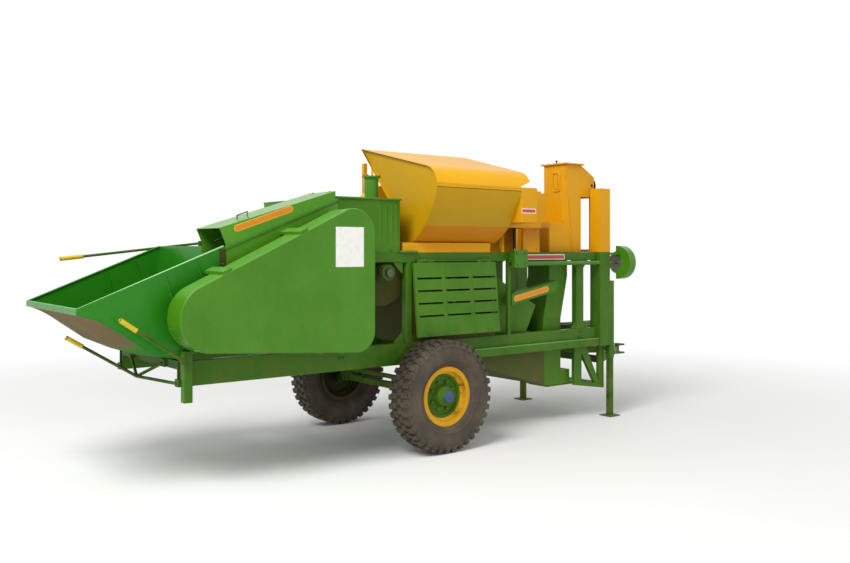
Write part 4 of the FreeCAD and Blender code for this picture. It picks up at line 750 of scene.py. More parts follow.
class Growth:
    """A Geometry Nodes tree that repeats one unit on points or along paths."""

    def __init__(self, unit: Unit) -> None:
        """Start the tree with its geometry sockets.

        Args:
            unit: What it repeats.
        """
        self.tree = bpy.data.node_groups.new(unit.value, "GeometryNodeTree")
        for way in ("INPUT", "OUTPUT"):
            self.tree.interface.new_socket("Geometry", in_out=way, socket_type="NodeSocketGeometry")
        self.source = self.tree.nodes.new("NodeGroupInput")
        self.keys: dict[str, str] = {}

    def value(self, name: str, default: float | None = None, kind: str = "NodeSocketFloat") -> Socket:
        """Add a named input.

        Args:
            name: Its name.
            default: The size that it starts from.
            kind: Its socket's type.

        Returns:
            Its socket inside the tree.
        """
        item = self.tree.interface.new_socket(name, in_out="INPUT", socket_type=kind)
        if default is not None:
            item.default_value = default
        self.keys[name] = item.identifier
        return self.source.outputs[name]

    def add(self, kind: str, values: dict | None = None, out: int | str = 0, **options) -> Socket:
        """Add one node to the tree, as add() does."""
        return add(self.tree, kind, values, out, **options)

    def close(self, unit: Socket, rotation: Socket, points: Socket | None = None) -> "Growth":
        """End the tree: the unit on every point, Realize Instances and Set Material.

        Args:
            unit: The unit's geometry.
            rotation: How it is turned on each point.
            points: The points, or the carrier's own where there are none.

        Returns:
            The tree.
        """
        finish = self.value("Finish", kind="NodeSocketMaterial")
        placed = self.add("GeometryNodeInstanceOnPoints", {
            "Points": points or self.source.outputs["Geometry"], "Instance": unit, "Rotation": rotation})
        solid = self.add("GeometryNodeRealizeInstances", {"Geometry": placed})
        painted = self.add("GeometryNodeSetMaterial", {"Geometry": solid, "Material": finish})
        self.add("NodeGroupOutput", {"Geometry": painted})
        return self

    def grow(self, carrier: bpy.types.Mesh, finish: Finish, **sizes: float) -> bpy.types.Mesh:
        """Run the tree once.

        Args:
            carrier: Points or paths that it grows on.
            finish: The finish of what it grows.
            sizes: Values of its named inputs, with spaces written as underscores.

        Returns:
            The plain mesh.
        """
        holder = bpy.data.objects.new("holder", carrier)
        bpy.context.scene.collection.objects.link(holder)
        modifier = holder.modifiers.new("grow", "NODES")
        modifier.node_group = self.tree
        modifier[self.keys["Finish"]] = finish.material()
        for name, value in sizes.items():
            modifier[self.keys[name.replace("_", " ")]] = value
        return settled(holder)


def spots(places: Iterable[Sequence[Sequence[float]]]) -> bpy.types.Mesh:
    """Make a carrier of points, each with the direction that its unit faces.

    Args:
        places: (point, direction) pairs, or with a third vector that the unit's width lies along.

    Returns:
        A mesh of loose points.
    """
    places = list(places)
    mesh = bpy.data.meshes.new("spots")
    mesh.from_pydata([tuple(place[0]) for place in places], [], [])
    facing = mesh.attributes.new("facing", "FLOAT_VECTOR", "POINT")
    across = mesh.attributes.new("across", "FLOAT_VECTOR", "POINT")
    for i, place in enumerate(places):
        facing.data[i].vector = Vector(place[1]).normalized()
        across.data[i].vector = Vector(place[2]).normalized() if len(place) > 2 else Vector((0.0, 1.0, 0.0))
    return mesh


def paths(routes: Iterable[Sequence[Sequence[float]]]) -> bpy.types.Mesh:
    """Make a carrier of open paths.

    Args:
        routes: Each path's points.

    Returns:
        A mesh of loose edges.
    """
    points: list[Point] = []
    edges: list[tuple[int, int]] = []
    for route in routes:
        start = len(points)
        points.extend(tuple(p) for p in route)
        edges.extend((start + i, start + i + 1) for i in range(len(route) - 1))
    mesh = bpy.data.meshes.new("paths")
    mesh.from_pydata(points, edges, [])
    return mesh


def spun(growth: Growth, rotation: Socket, least: float, most: float, seed: int) -> Socket:
    """Turn each unit by a random angle about its own Z.

    Args:
        growth: The tree.
        rotation: How the unit is turned already.
        least: Smallest angle.
        most: Largest angle.
        seed: Seed of the angles.

    Returns:
        The new rotation.
    """
    angle = growth.add("FunctionNodeRandomValue", {2: least, 3: most, "Seed": seed}, 1, data_type="FLOAT")
    spin = growth.add("FunctionNodeAxisAngleToRotation", {"Axis": UP, "Angle": angle})
    return growth.add("FunctionNodeRotateRotation", {"Rotation": rotation, "Rotate By": spin},
                      rotation_space="LOCAL")


def facing_turn(growth: Growth, seed: int) -> Socket:
    """Rotation that turns each unit's Z to its point's direction, with a random turn about it.

    Args:
        growth: The tree.
        seed: Seed of the random turn.

    Returns:
        The rotation.
    """
    facing = growth.add("GeometryNodeInputNamedAttribute", {"Name": "facing"}, data_type="FLOAT_VECTOR")
    upright = growth.add("FunctionNodeAlignRotationToVector", {"Vector": facing}, axis="Z")
    return spun(growth, upright, 0.0, math.tau, seed)


def bolt_tree() -> Growth:
    """Tree of hexagon bolt heads, each with a low crown, on round washers.

    Returns:
        The tree.
    """
    growth = Growth(Unit.HEX_BOLT)
    across = growth.value("Across flats", 17 * MM)
    height = growth.value("Head height", 8 * MM)
    washer = growth.value("Washer width", 30 * MM)
    radius = growth.add("ShaderNodeMath", {0: across, 1: 0.577}, operation="MULTIPLY")
    half = growth.add("ShaderNodeMath", {0: height, 1: 0.5}, operation="MULTIPLY")
    lifted = growth.add("ShaderNodeMath", {0: half, 1: 2.0 * MM}, operation="ADD")
    head = growth.add("GeometryNodeMeshCylinder", {"Vertices": 6, "Radius": radius, "Depth": height})
    cap = growth.add("GeometryNodeExtrudeMesh", {"Mesh": head, "Selection": head.node.outputs["Top"],
                                                 "Offset Scale": 1.2 * MM}, mode="FACES")
    dome = growth.add("GeometryNodeScaleElements", {"Geometry": cap, "Selection": cap.node.outputs["Top"],
                                                    "Scale": 0.84})
    seat = growth.add("GeometryNodeTransform", {
        "Geometry": dome, "Translation": growth.add("ShaderNodeCombineXYZ", {"Z": lifted})})
    ring_radius = growth.add("ShaderNodeMath", {0: washer, 1: 0.5}, operation="MULTIPLY")
    ring = growth.add("GeometryNodeMeshCylinder", {"Vertices": 16, "Depth": 4 * MM, "Radius": ring_radius})
    unit = growth.add("GeometryNodeJoinGeometry")
    for part in (seat, ring):
        growth.tree.links.new(part, unit.node.inputs[0])
    return growth.close(unit, facing_turn(growth, 11))


def rivet_tree() -> Growth:
    """Tree of domed rivet heads.

    Returns:
        The tree.
    """
    growth = Growth(Unit.RIVET)
    width = growth.value("Head width", 14 * MM)
    radius = growth.add("ShaderNodeMath", {0: width, 1: 0.5}, operation="MULTIPLY")
    ball = growth.add("GeometryNodeMeshUVSphere", {"Segments": 12, "Rings": 8, "Radius": radius})
    dome = growth.add("GeometryNodeTransform", {"Geometry": ball, "Scale": (1.0, 1.0, 0.45)})
    return growth.close(dome, facing_turn(growth, 5))


def path_tree(unit: Unit) -> Growth:
    """Tree that repeats weld ripples or slats along paths.

    Args:
        unit: WELD or SLAT.

    Returns:
        The tree.
    """
    growth = Growth(unit)
    pitch = growth.value("Pitch", 8 * MM)
    width = growth.value("Width", 12 * MM)
    length = growth.value("Length", 12 * MM)
    height = growth.value("Height", 6 * MM)
    curve = growth.add("GeometryNodeMeshToCurve", {"Mesh": growth.source.outputs["Geometry"]})
    points = growth.add("GeometryNodeCurveToPoints", {"Curve": curve, "Length": pitch}, "Points",
                        mode="LENGTH")
    size = growth.add("ShaderNodeCombineXYZ", {"X": length, "Y": width, "Z": height})
    if unit is Unit.WELD:
        grain = growth.add("GeometryNodeMeshUVSphere", {"Segments": 8, "Rings": 6, "Radius": 0.5})
    else:
        grain = growth.add("GeometryNodeMeshCube", {"Size": (1.0, 1.0, 1.0)})
    formed = growth.add("GeometryNodeTransform", {"Geometry": grain, "Scale": size})
    lying = growth.add("FunctionNodeAxesToRotation", {
        "Primary Axis": points.node.outputs["Tangent"], "Secondary Axis": (0.0, 1.0, 0.0)},
        primary_axis="X", secondary_axis="Y")
    return growth.close(formed, lying, points)


def louvre_tree() -> Growth:
    """Tree of scooped louvres: a quarter-round hood whose mouth faces down.

    Returns:
        The tree.
    """
    growth = Growth(Unit.LOUVRE)
    length = growth.value("Length", 230 * MM)
    depth = growth.value("Depth", 22 * MM)
    height = growth.value("Height", 42 * MM)
    tube = growth.add("GeometryNodeMeshCylinder", {"Vertices": 24, "Radius": 1.0, "Depth": 1.0},
                      fill_type="TRIANGLE_FAN")
    lying = growth.add("GeometryNodeTransform", {"Geometry": tube, "Rotation": (0.0, math.pi / 2.0, 0.0)})
    place = growth.add("ShaderNodeSeparateXYZ", {0: growth.add("GeometryNodeInputPosition")})
    least = growth.add("ShaderNodeMath", {0: place.node.outputs["Y"], 1: place.node.outputs["Z"]},
                       operation="MINIMUM")
    below = growth.add("FunctionNodeCompare", {"A": least, "B": -0.02}, data_type="FLOAT",
                       operation="LESS_THAN")
    scoop = growth.add("GeometryNodeDeleteGeometry", {"Geometry": lying, "Selection": below}, domain="POINT")
    size = growth.add("ShaderNodeCombineXYZ", {"X": length, "Y": depth, "Z": height})
    formed = growth.add("GeometryNodeTransform", {"Geometry": scoop, "Scale": size})
    thick = growth.add("GeometryNodeExtrudeMesh", {"Mesh": formed, "Offset Scale": -1.2 * MM,
                                                   "Individual": False}, mode="FACES")
    facing = growth.add("GeometryNodeInputNamedAttribute", {"Name": "facing"}, data_type="FLOAT_VECTOR")
    turned = growth.add("FunctionNodeAxesToRotation", {"Primary Axis": facing, "Secondary Axis": UP},
                        primary_axis="Y", secondary_axis="Z")
    return growth.close(thick, turned)


def tread_tree() -> Growth:
    """Tree of tyre tread blocks on points whose facing is outwards from the axle.

    Returns:
        The tree.
    """
    growth = Growth(Unit.TREAD_BLOCK)
    along = growth.value("Block length", 50 * MM)
    across = growth.value("Block width", 50 * MM)
    height = growth.value("Block height", 14 * MM)
    size = growth.add("ShaderNodeCombineXYZ", {"X": along, "Y": across, "Z": height})
    block = growth.add("GeometryNodeMeshCube", {"Size": size})
    rise = growth.add("ShaderNodeSeparateXYZ", {0: growth.add("GeometryNodeInputNormal")}, "Z")
    top = growth.add("FunctionNodeCompare", {"A": rise, "B": 0.5}, data_type="FLOAT",
                     operation="GREATER_THAN")
    worn = growth.add("GeometryNodeScaleElements", {"Geometry": block, "Selection": top, "Scale": 0.86})
    axes = [growth.add("GeometryNodeInputNamedAttribute", {"Name": name}, data_type="FLOAT_VECTOR")
            for name in ("facing", "across")]
    upright = growth.add("FunctionNodeAxesToRotation", {"Primary Axis": axes[0], "Secondary Axis": axes[1]},
                         primary_axis="Z", secondary_axis="Y")
    return growth.close(worn, spun(growth, upright, -0.05, 0.05, 21))


class Hardware:
    """The shop's stock of fasteners and welds, each grown from its own tree."""

    def __init__(self) -> None:
        """Build the trees once."""
        self.bolt = bolt_tree()
        self.rivet = rivet_tree()
        self.weld = path_tree(Unit.WELD)
        self.slat = path_tree(Unit.SLAT)
        self.louvre = louvre_tree()
        self.tread = tread_tree()

    def bolts(self, name: str, places: Iterable, finish: Finish, flats_mm: float, body: str = "frame",
              slot: str = "green_paint") -> None:
        """Put bolt heads on.

        Args:
            name: The piece's name.
            places: (point, direction) pairs.
            finish: Their finish.
            flats_mm: Width across flats.
            body: The body that they ride on.
            slot: The record's material slot.
        """
        mesh = self.bolt.grow(spots(places), finish, Across_flats=flats_mm * MM,
                              Head_height=flats_mm * 0.55 * MM, Washer_width=flats_mm * 1.7 * MM)
        piece(name, mesh, body, slot)

    def rivets(self, name: str, places: Iterable, finish: Finish, width_mm: float, body: str) -> None:
        """Put rivet heads on.

        Args:
            name: The piece's name.
            places: (point, direction) pairs.
            finish: Their finish.
            width_mm: Width of a head.
            body: The body that they ride on.
        """
        mesh = self.rivet.grow(spots(places), finish, Head_width=width_mm * MM)
        mesh.shade_smooth()
        piece(name, mesh, body, "green_paint")

    def welds(self, name: str, routes: Iterable, finish: Finish, width_mm: float = 9.0) -> None:
        """Lay weld beads on the frame.

        Args:
            name: The piece's name.
            routes: Each bead's points.
            finish: Their finish.
            width_mm: Width of a bead.
        """
        mesh = self.weld.grow(paths(routes), finish, Pitch=width_mm * 0.7 * MM, Width=width_mm * MM,
                              Length=width_mm * 1.1 * MM, Height=width_mm * 0.7 * MM)
        mesh.shade_smooth()
        piece(name, mesh, "frame", "green_paint")


@dataclass
class Assembly:
    """A sub-assembly that takes its fasteners and welds from the shop's stock."""

    hardware: Hardware


# ------------------------------------------------------------------ underframe

@dataclass
class Underframe(Assembly):
    """Rails, axle, posts, drawbar and legs, welded from square tube."""

    fold_mm: float = 5.0
    bright: tuple[str, ...] = ("chassis_rail_right", "chassis_rail_left", "upper_rails", "side_posts",
                               "front_columns", "front_leg_sleeves", "rear_leg", "front_subframe",
                               "pto_guard")
    dull: tuple[str, ...] = ("chassis_cross_members", "deck_cross_members", "axle_beam", "drawbar",
                             "front_legs")
    post_x: tuple[float, ...] = (-1.015, -0.407, 1.633)  # posts with gussets
    post_half: float = 0.030
    gusset: float = 0.085
    gusset_nose: float = 12 * MM
    gusset_sheet: float = 6 * MM
    bolt_rows: Pair = (-0.028, -0.075)  # below the foot of a post
    bolt_spread: float = 0.016
    pin_radius: float = 8 * MM
    pin_rise: float = 0.12         # above the sleeve's foot
    pin_out: float = 0.035         # past the sleeve's front
    ring_wire: float = 2.5 * MM
    ring_drop: float = 0.06
    ring_half: float = 0.012
    leg_inset: float = 4.2 * MM    # of the leg's faces from the sleeve's
    hole_radius: float = 10 * MM
    hole_pitch: float = 0.09
    first_hole: float = 0.10
    last_gap: float = 0.03         # from the last hole to the sleeve
    step_bead: float = 4.5 * MM
    nose_half: float = 0.043
    nose_length: float = 0.120

    def build(self) -> None:
        """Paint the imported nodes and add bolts, gussets, welds and leg pins."""
        paint(Finish.FRAME, self.fold_mm, *self.bright, steps=3)
        paint(Finish.DARK_GREEN, self.fold_mm, *self.dull, steps=3)
        self.step_edges()
        self.post_joints()
        self.leg_pins()
        self.hitch()

    def step_edges(self) -> None:
        """Lighter green edge along the step of each lower rail: a painted highlight."""
        edges = Sheet(Finish.EDGE_HIGHLIGHT_GREEN)
        for node, side in (("chassis_rail_right", -1.0), ("chassis_rail_left", 1.0)):
            points = points_of(node)
            out = max(side * p.y for p in points)
            step = [p for p in points if side * p.y > out - 1 * MM]
            y = side * (out - self.step_bead * 0.6)
            z = max(p.z for p in step) - self.step_bead * 0.6
            edges.bar([(min(p.x for p in step) + 4 * MM, y, z), (max(p.x for p in step) - 4 * MM, y, z)],
                      self.step_bead)
        edges.finish("rail_step_edges")

    def post_joints(self) -> None:
        """Gusset plates, weld beads and bolts where posts meet the rails."""
        low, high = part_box("side_posts")
        plates = Sheet(Finish.FRAME)
        beads = []
        heads = []
        for side in BOTH:
            face = side * high.y
            inner = face - side * 8 * MM
            for x in self.post_x:
                for lean in (1.0,) if x == self.post_x[0] else BOTH:
                    root = x + lean * (self.post_half - 1 * MM)
                    tip = root + lean * self.gusset
                    for z, rise in ((low.z, 1.0), (high.z, -1.0)):
                        nose = z + rise * self.gusset_nose
                        crest = z + rise * self.gusset
                        plates.prism([(root, inner, z), (tip, inner, z), (tip, inner, nose),
                                      (root + lean * self.gusset_nose, inner, crest), (root, inner, crest)],
                                     (0.0, -side * self.gusset_sheet, 0.0))
                beads += [[(x - self.post_half, face, z), (x + self.post_half, face, z)]
                          for z in (low.z, high.z)]
                heads += [((x + dx, face, low.z + dz), (0.0, side, 0.0))
                          for dz in self.bolt_rows for dx in (-self.bolt_spread, self.bolt_spread)]
        plates.finish("post_gussets")
        self.hardware.welds("post_welds", beads, Finish.FRAME)
        self.hardware.bolts("rail_bolts", heads, Finish.FRAME, 15.0)

    def leg_pins(self) -> None:
        """Locking pins with pull rings, and rows of black discs down the front legs as painted shade for the
        pin holes.
        """
        low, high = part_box("front_leg_sleeves")
        x = (low.x + high.x) / 2.0
        half = (high.x - low.x) / 2.0
        pins = Sheet(Finish.ZINC)
        # Black discs stand in for the pin holes: painted shade.
        holes = Sheet(Finish.BLACK)
        disc = [(0.0, 0.0), (self.hole_radius, 0.0), (self.hole_radius, 0.6 * MM), (0.0, 0.6 * MM)]
        for side in BOTH:
            y = side * (high.y - half)
            z = low.z + self.pin_rise
            tip = high.x + self.pin_out
            pins.bar([(low.x + 0.01, y, z), (tip, y, z)], self.pin_radius, 12)
            ring = tip + self.ring_wire * 2.4
            foot, neck = z - self.ring_drop, z - self.ring_drop / 2.0
            pins.bar([(tip, y, z), (ring, y, neck), (ring, y - self.ring_half, foot),
                      (ring, y + self.ring_half, foot), (ring, y, neck)], self.ring_wire, 6)
            height = self.first_hole
            while height < low.z - self.last_gap:
                for way in (1.0, -1.0):
                    holes.turned(disc, (x + way * (half - self.leg_inset), y, height), (way, 0.0, 0.0), 14)
                height += self.hole_pitch
        pins.finish("leg_pins", slot="galvanised")
        holes.finish("leg_pin_holes", slot="black_paint")

    def hitch(self) -> None:
        """Weld beads round the drawbar's nose."""
        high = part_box("drawbar")[1]
        end = high.x - 5 * MM
        routes = [[(x, side * self.nose_half, high.z) for x in (end - self.nose_length, end)]
                  for side in BOTH]
        back = end - self.nose_length - 3 * MM
        routes.append([(back, side * self.nose_half, high.z) for side in BOTH])
        self.hardware.welds("hitch_welds", routes, Finish.DARK_GREEN)


# ------------------------------------------------------------------ wheels

@dataclass
class TrailerWheel(Assembly):
    """A cross-ply trailer tyre on a yellow rim with a green dished disc and a blue cap."""

    side: str
    blocks: int = 38
    block_height: float = 19 * MM
    lug_height: float = 9 * MM
    middle_row: float = 0.25       # share of the half width, as below
    shoulder_row: float = 0.665
    shoulder_drop: float = 0.7 * MM
    shoulder_tilt: float = 0.05
    lug_row: Pair = (0.905, 0.925)  # shares of the radius and of the half width
    lug_tilt: float = 0.28
    bolt_circle: float = 0.112
    bolt_count: int = 8
    valve_circle: float = 0.176
    cap_form: tuple[Pair, ...] = ((0.046, -4 * MM), (0.047, 0.0), (0.046, 3 * MM), (0.041, 6 * MM),
                                  (0.030, 9 * MM), (0.013, 10.6 * MM), (0.0, 11 * MM))
    carcass: tuple[Pair, ...] = (
        # share of the tyre's radius, share of its half width
        (0.474, 0.52), (0.530, 0.545), (0.545, 0.68), (0.580, 0.80), (0.594, 0.845), (0.600, 0.825),
        (0.640, 0.905), (0.652, 0.945), (0.660, 0.920), (0.720, 0.955), (0.790, 0.962), (0.850, 0.950),
        (0.895, 0.915), (0.925, 0.860), (0.943, 0.780), (0.951, 0.660), (0.953, 0.400), (0.954, 0.0))
    wall: float = 0.045            # share of the radius
    bead_seat: float = 0.475       # share of the radius

    def build(self) -> None:
        """Make the tyre, its tread, the rim, the disc and the hub fittings."""
        low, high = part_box(self.side + "_tyre")
        self.centre = (low + high) / 2.0
        self.radius = (high.z - low.z) / 2.0
        self.half = (high.y - low.y) / 2.0
        self.body = BODY_OF[self.side + "_tyre"]
        self.out = math.copysign(1.0, self.centre.y)
        self.tyre()
        self.tread()
        paint(Finish.RIM, 0.0, self.side + "_rim")
        paint(Finish.DISC, 0.0, self.side + "_disc")
        self.hub()

    def tyre(self) -> None:
        """Carcass with its bead, sidewall ribs and shoulders."""
        outside = [(r * self.radius, w * self.half) for r, w in self.carcass]
        inside = [(self.bead_seat * self.radius, 0.40 * self.half)]
        inside += [(max(self.bead_seat, r - self.wall) * self.radius, (w - 0.16) * self.half)
                   for r, w in self.carcass[2:-1]]
        inside.append(((self.carcass[-1][0] - self.wall) * self.radius, 0.0))
        loop = outside + [(r, -w) for r, w in reversed(outside[:-1])]
        loop += [(r, -w) for r, w in inside[:-1]] + inside[::-1]
        tyre = Sheet(Finish.TYRE)
        tyre.turned(loop, self.centre, (0.0, 1.0, 0.0), 96, closed=True)
        tyre.finish(self.side + "_tyre_carcass", self.body, "tyre_rubber", self.side + "_tyre", crease=50.0)

    def spoke(self, turn: float) -> Vector:
        """Direction from the axle at one angle."""
        return Vector((math.cos(turn), 0.0, math.sin(turn)))

    def tread(self) -> None:
        """Two centre rows, two shoulder rows and short lugs down the sidewalls."""
        base = self.carcass[-3][0] * self.radius - 1.5 * MM
        height = base + self.block_height / 2.0
        step = math.tau / self.blocks
        middle: list[Sequence[Vector]] = []
        shoulder: list[Sequence[Vector]] = []
        lug: list[Sequence[Vector]] = []
        for k in range(self.blocks):
            for row, way in enumerate(BOTH):
                aside = Vector((0.0, way, 0.0))
                width = Vector((0.0, 1.0, 0.0))
                arm = self.spoke(step * (k + 0.5 * row))
                middle.append((self.centre + arm * height + aside * self.middle_row * self.half, arm, width))
                arm = self.spoke(step * (k + 0.5 * row + 0.25))
                shoulder.append((self.centre + arm * (height - self.shoulder_drop)
                                 + aside * self.shoulder_row * self.half,
                                 arm + aside * self.shoulder_tilt, width))
                lug.append((self.centre + arm * self.lug_row[0] * self.radius
                            + aside * self.lug_row[1] * self.half, aside + arm * self.lug_tilt, arm))
        for places, length, across, tall, name in (
                (middle, 0.70, 0.42 * self.half, self.block_height, "_centre_tread"),
                (shoulder, 0.62, 0.46 * self.half, self.block_height, "_shoulder_tread"),
                (lug, 0.62, 0.075 * self.radius, self.lug_height, "_sidewall_lugs")):
            mesh = self.hardware.tread.grow(spots(places), Finish.TYRE, Block_length=step * base * length,
                                            Block_width=across, Block_height=tall)
            mesh.materials[0] = Finish.TYRE.material(worn=True)
            piece(self.side + name, mesh, self.body, "tyre_rubber")

    def hub(self) -> None:
        """Wheel bolts, grease cap and valve."""
        low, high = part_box(self.side + "_disc")
        axis = Vector((0.0, self.out, 0.0))
        arms = [self.spoke(math.tau * (k + 0.5) / self.bolt_count) for k in range(self.bolt_count)]
        places = [(self.centre + arm * self.bolt_circle + axis * 8 * MM, axis) for arm in arms]
        self.hardware.bolts(self.side + "_wheel_bolts", places, Finish.DISC, 27.0, self.body)
        cap = Sheet(Finish.CAP)
        end = high.y if self.out > 0.0 else low.y
        cap.turned(self.cap_form, (self.centre.x, end, self.centre.z), axis, 32)
        cap.finish(self.side + "_hub_cap", self.body, "black_paint", crease=50.0)
        valve = Sheet(Finish.BLACK)
        arm = self.spoke(0.4)
        root = self.centre + arm * self.valve_circle + axis * 0.030
        valve.bar([root, root + axis * 0.02 + arm * 6 * MM, root + axis * 0.045 + arm * 0.012], 4 * MM, 8)
        valve.finish(self.side + "_valve", self.body, "black_paint")


# ------------------------------------------------------------------ feed end

@dataclass
class FeedEnd(Assembly):
    """Feed hopper, channel, conveyor and lid."""

    bead: float = 6.5 * MM
    sheet: float = 4 * MM
    seams: tuple[tuple[Pair, Pair], ...] = (
        ((-2.381, 1.434), (-2.327, 1.269)), ((-2.167, 1.53), (-2.118, 1.40)))
    joint_bolts: tuple[float, ...] = (1.02, 1.14, 1.26, 1.38, 1.50)
    joint_inset: float = 0.022     # of the bolts from the hopper's front edge
    joint_strip: float = 0.045
    lip_band: float = 0.036
    flange_depth: float = 25 * MM
    flange_sheet: float = 7 * MM
    roller: float = 42 * MM        # radius over the feed chain's rollers
    slat_pitch: float = 0.11
    slat_size: Pair = (26 * MM, 11 * MM)
    slat_gaps: float = 34 * MM     # left free at both ends together
    stripe: tuple[Pair, Pair] = ((-1.867, 1.748), (-1.451, 1.891))
    stripe_width: float = 0.048
    handle_x: float = -1.735
    handle_half: float = 0.04
    hinge_lap: float = 0.024       # the lid's flat top ends so far from its front

    def build(self) -> None:
        """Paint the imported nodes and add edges, seams, slats, stripe, handle and joint."""
        paint(Finish.HOPPER, 1.5, "feed_hopper")
        # The channel's brighter LID green is painted light that lifts the shade under the lid.
        paint(Finish.LID, 1.5, "feed_channel")
        paint(Finish.GALVANISED, 0.0, "feed_conveyor")
        paint(Finish.LID, 1.5, "feeder_lid")
        self.rolled_edge()
        self.hopper_seams()
        self.slats()
        self.lid_fittings()
        self.joint()

    def rolled_edge(self) -> None:
        """Rolled wire edge inside the hopper's rim, lighter green on the lip and near side as a painted
        highlight, with a painted highlight band along the lip.
        """
        low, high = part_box("feed_hopper")
        inset = self.sheet + self.bead * 0.6
        side = high.y - inset
        rear = low.x + inset
        front = high.x - 0.012
        top = highest_at("feed_hopper", low.x) - self.bead * 0.5
        crest = highest_at("feed_hopper", high.x) - self.bead * 0.5
        # Rear and near bars are lighter green as a painted highlight; the far bar keeps the hopper's green.
        edge = Sheet(Finish.EDGE_HIGHLIGHT_GREEN, Finish.NEAR_RIM_HIGHLIGHT, Finish.HOPPER)
        edge.bar([(rear, -side, top), (rear, side, top)], self.bead)
        edge.bar([(front, -side, crest), (rear, -side, top)], self.bead, finish=1)
        edge.bar([(rear, side, top), (front, side, crest)], self.bead, finish=2)
        edge.finish("hopper_rolled_edge")
        # The lip band is a painted highlight.
        band = Sheet(Finish.EDGE_HIGHLIGHT_GREEN)
        inner = low.x + self.sheet
        band.block((inner, -side, top - self.lip_band), (inner + 2 * MM, side, top - 2 * MM))
        band.finish("hopper_lip_band")

    def hopper_seams(self) -> None:
        """Raised lapped seams down both side walls and bolts along the front joint."""
        low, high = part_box("feed_hopper")
        laps = Sheet(Finish.HOPPER)
        for side in BOTH:
            for ends in self.seams:
                for y in (high.y, high.y - self.sheet):
                    laps.bar([(x, side * y, z) for x, z in ends], self.bead)
        laps.finish("hopper_lapped_seams", crease=60.0)
        heads = [((high.x - self.joint_inset, y, z), (0.0, math.copysign(1.0, y), 0.0))
                 for y in (low.y, high.y) for z in self.joint_bolts]
        self.hardware.bolts("hopper_joint_bolts", heads, Finish.HOPPER, 13.0)

    def slats(self) -> None:
        """Slats of the feed chain across the conveyor's upper run."""
        low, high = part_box("feed_conveyor")
        start = Vector((low.x + self.roller, 0.0, low.z + self.roller))
        end = Vector((high.x - self.roller, 0.0, high.z - self.roller))
        along = (end - start).normalized()
        lift = Vector((-along.z, 0.0, along.x)) * (self.roller + 5 * MM)
        lift.y = (low.y + high.y) / 2.0
        mesh = self.hardware.slat.grow(paths([[start + lift, end + lift]]), Finish.GALVANISED,
                                       Pitch=self.slat_pitch, Length=self.slat_size[0],
                                       Width=(high.y - low.y) - self.slat_gaps, Height=self.slat_size[1])
        piece("conveyor_slats", mesh, "frame", "galvanised")

    def lid_fittings(self) -> None:
        """Orange stripe and lifting handle on the lid."""
        low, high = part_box("feeder_lid")
        pill("lid_stripe", "lid", *self.stripe, self.stripe_width, low.y)
        middle = (low.y + high.y) / 2.0
        front = high.x - self.hinge_lap
        rear_top = highest_at("feeder_lid", low.x)
        slope = (highest_at("feeder_lid", front) - rear_top) / (front - low.x)
        top = rear_top + slope * (self.handle_x - low.x)
        rear, fore = self.handle_x - self.handle_half, self.handle_x + self.handle_half
        handle = Sheet(Finish.GREEN)
        handle.bar([(rear, middle, top - 18 * MM), (rear, middle, top + 12 * MM),
                    (fore, middle, top + 42 * MM), (fore, middle, top + 10 * MM)], 5 * MM)
        handle.finish("lid_handle", "lid")

    def joint(self) -> None:
        """Dark lapped strip down the joint of hopper and channel, and a flange along the channel's edge."""
        low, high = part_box("feed_hopper")
        start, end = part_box("feed_channel")
        strip = Sheet(Finish.OLIVE)
        strip.block((high.x - self.joint_strip, low.y - 3 * MM, start.z + 0.04),
                    (high.x + 4 * MM, low.y, highest_at("feed_hopper", high.x) - 0.02))
        strip.finish("hopper_joint_strip", fold_mm=1.0)
        (x0, z0), (x1, z1) = ((x, highest_at("feed_channel", x) - 1 * MM) for x in (start.x, end.x))
        flange = Sheet(Finish.GREEN)
        flange.prism([(x0, low.y, z0), (x1, low.y, z1), (x1, low.y, z1 - self.flange_depth),
                      (x0, low.y, z0 - self.flange_depth)], (0.0, -self.flange_sheet, 0.0))
        flange.finish("channel_edge_flange", fold_mm=2.0)


def pill(name: str, body: str, start: Pair, end: Pair, width: float, face: float) -> None:
    """Stick a plain orange stripe with round ends and a yellow border on a side face.

    Args:
        name: The piece's name.
        body: The body that it rides on.
        start: One end's centre.
        end: The other end's centre.
        width: Its width.
        face: Y of the face; the stripe lies just outside it.
    """
    film = math.copysign(0.5 * MM, face)
    heading = math.atan2(end[1] - start[1], end[0] - start[0])
    sheet = Sheet(Finish.STRIPE_EDGE, Finish.STRIPE)
    for layer, border in enumerate((0.0, 6 * MM)):
        radius = width / 2.0 - border
        outline = []
        for (x, z), offset in ((end, -math.pi / 2.0), (start, math.pi / 2.0)):
            for k in range(9):
                turn = heading + offset + math.pi * k / 8.0
                outline.append((x + radius * math.cos(turn), face + layer * film,
                                z + radius * math.sin(turn)))
        sheet.prism(outline, (0.0, film, 0.0), layer)
    sheet.finish(name, body, "yellow_paint")


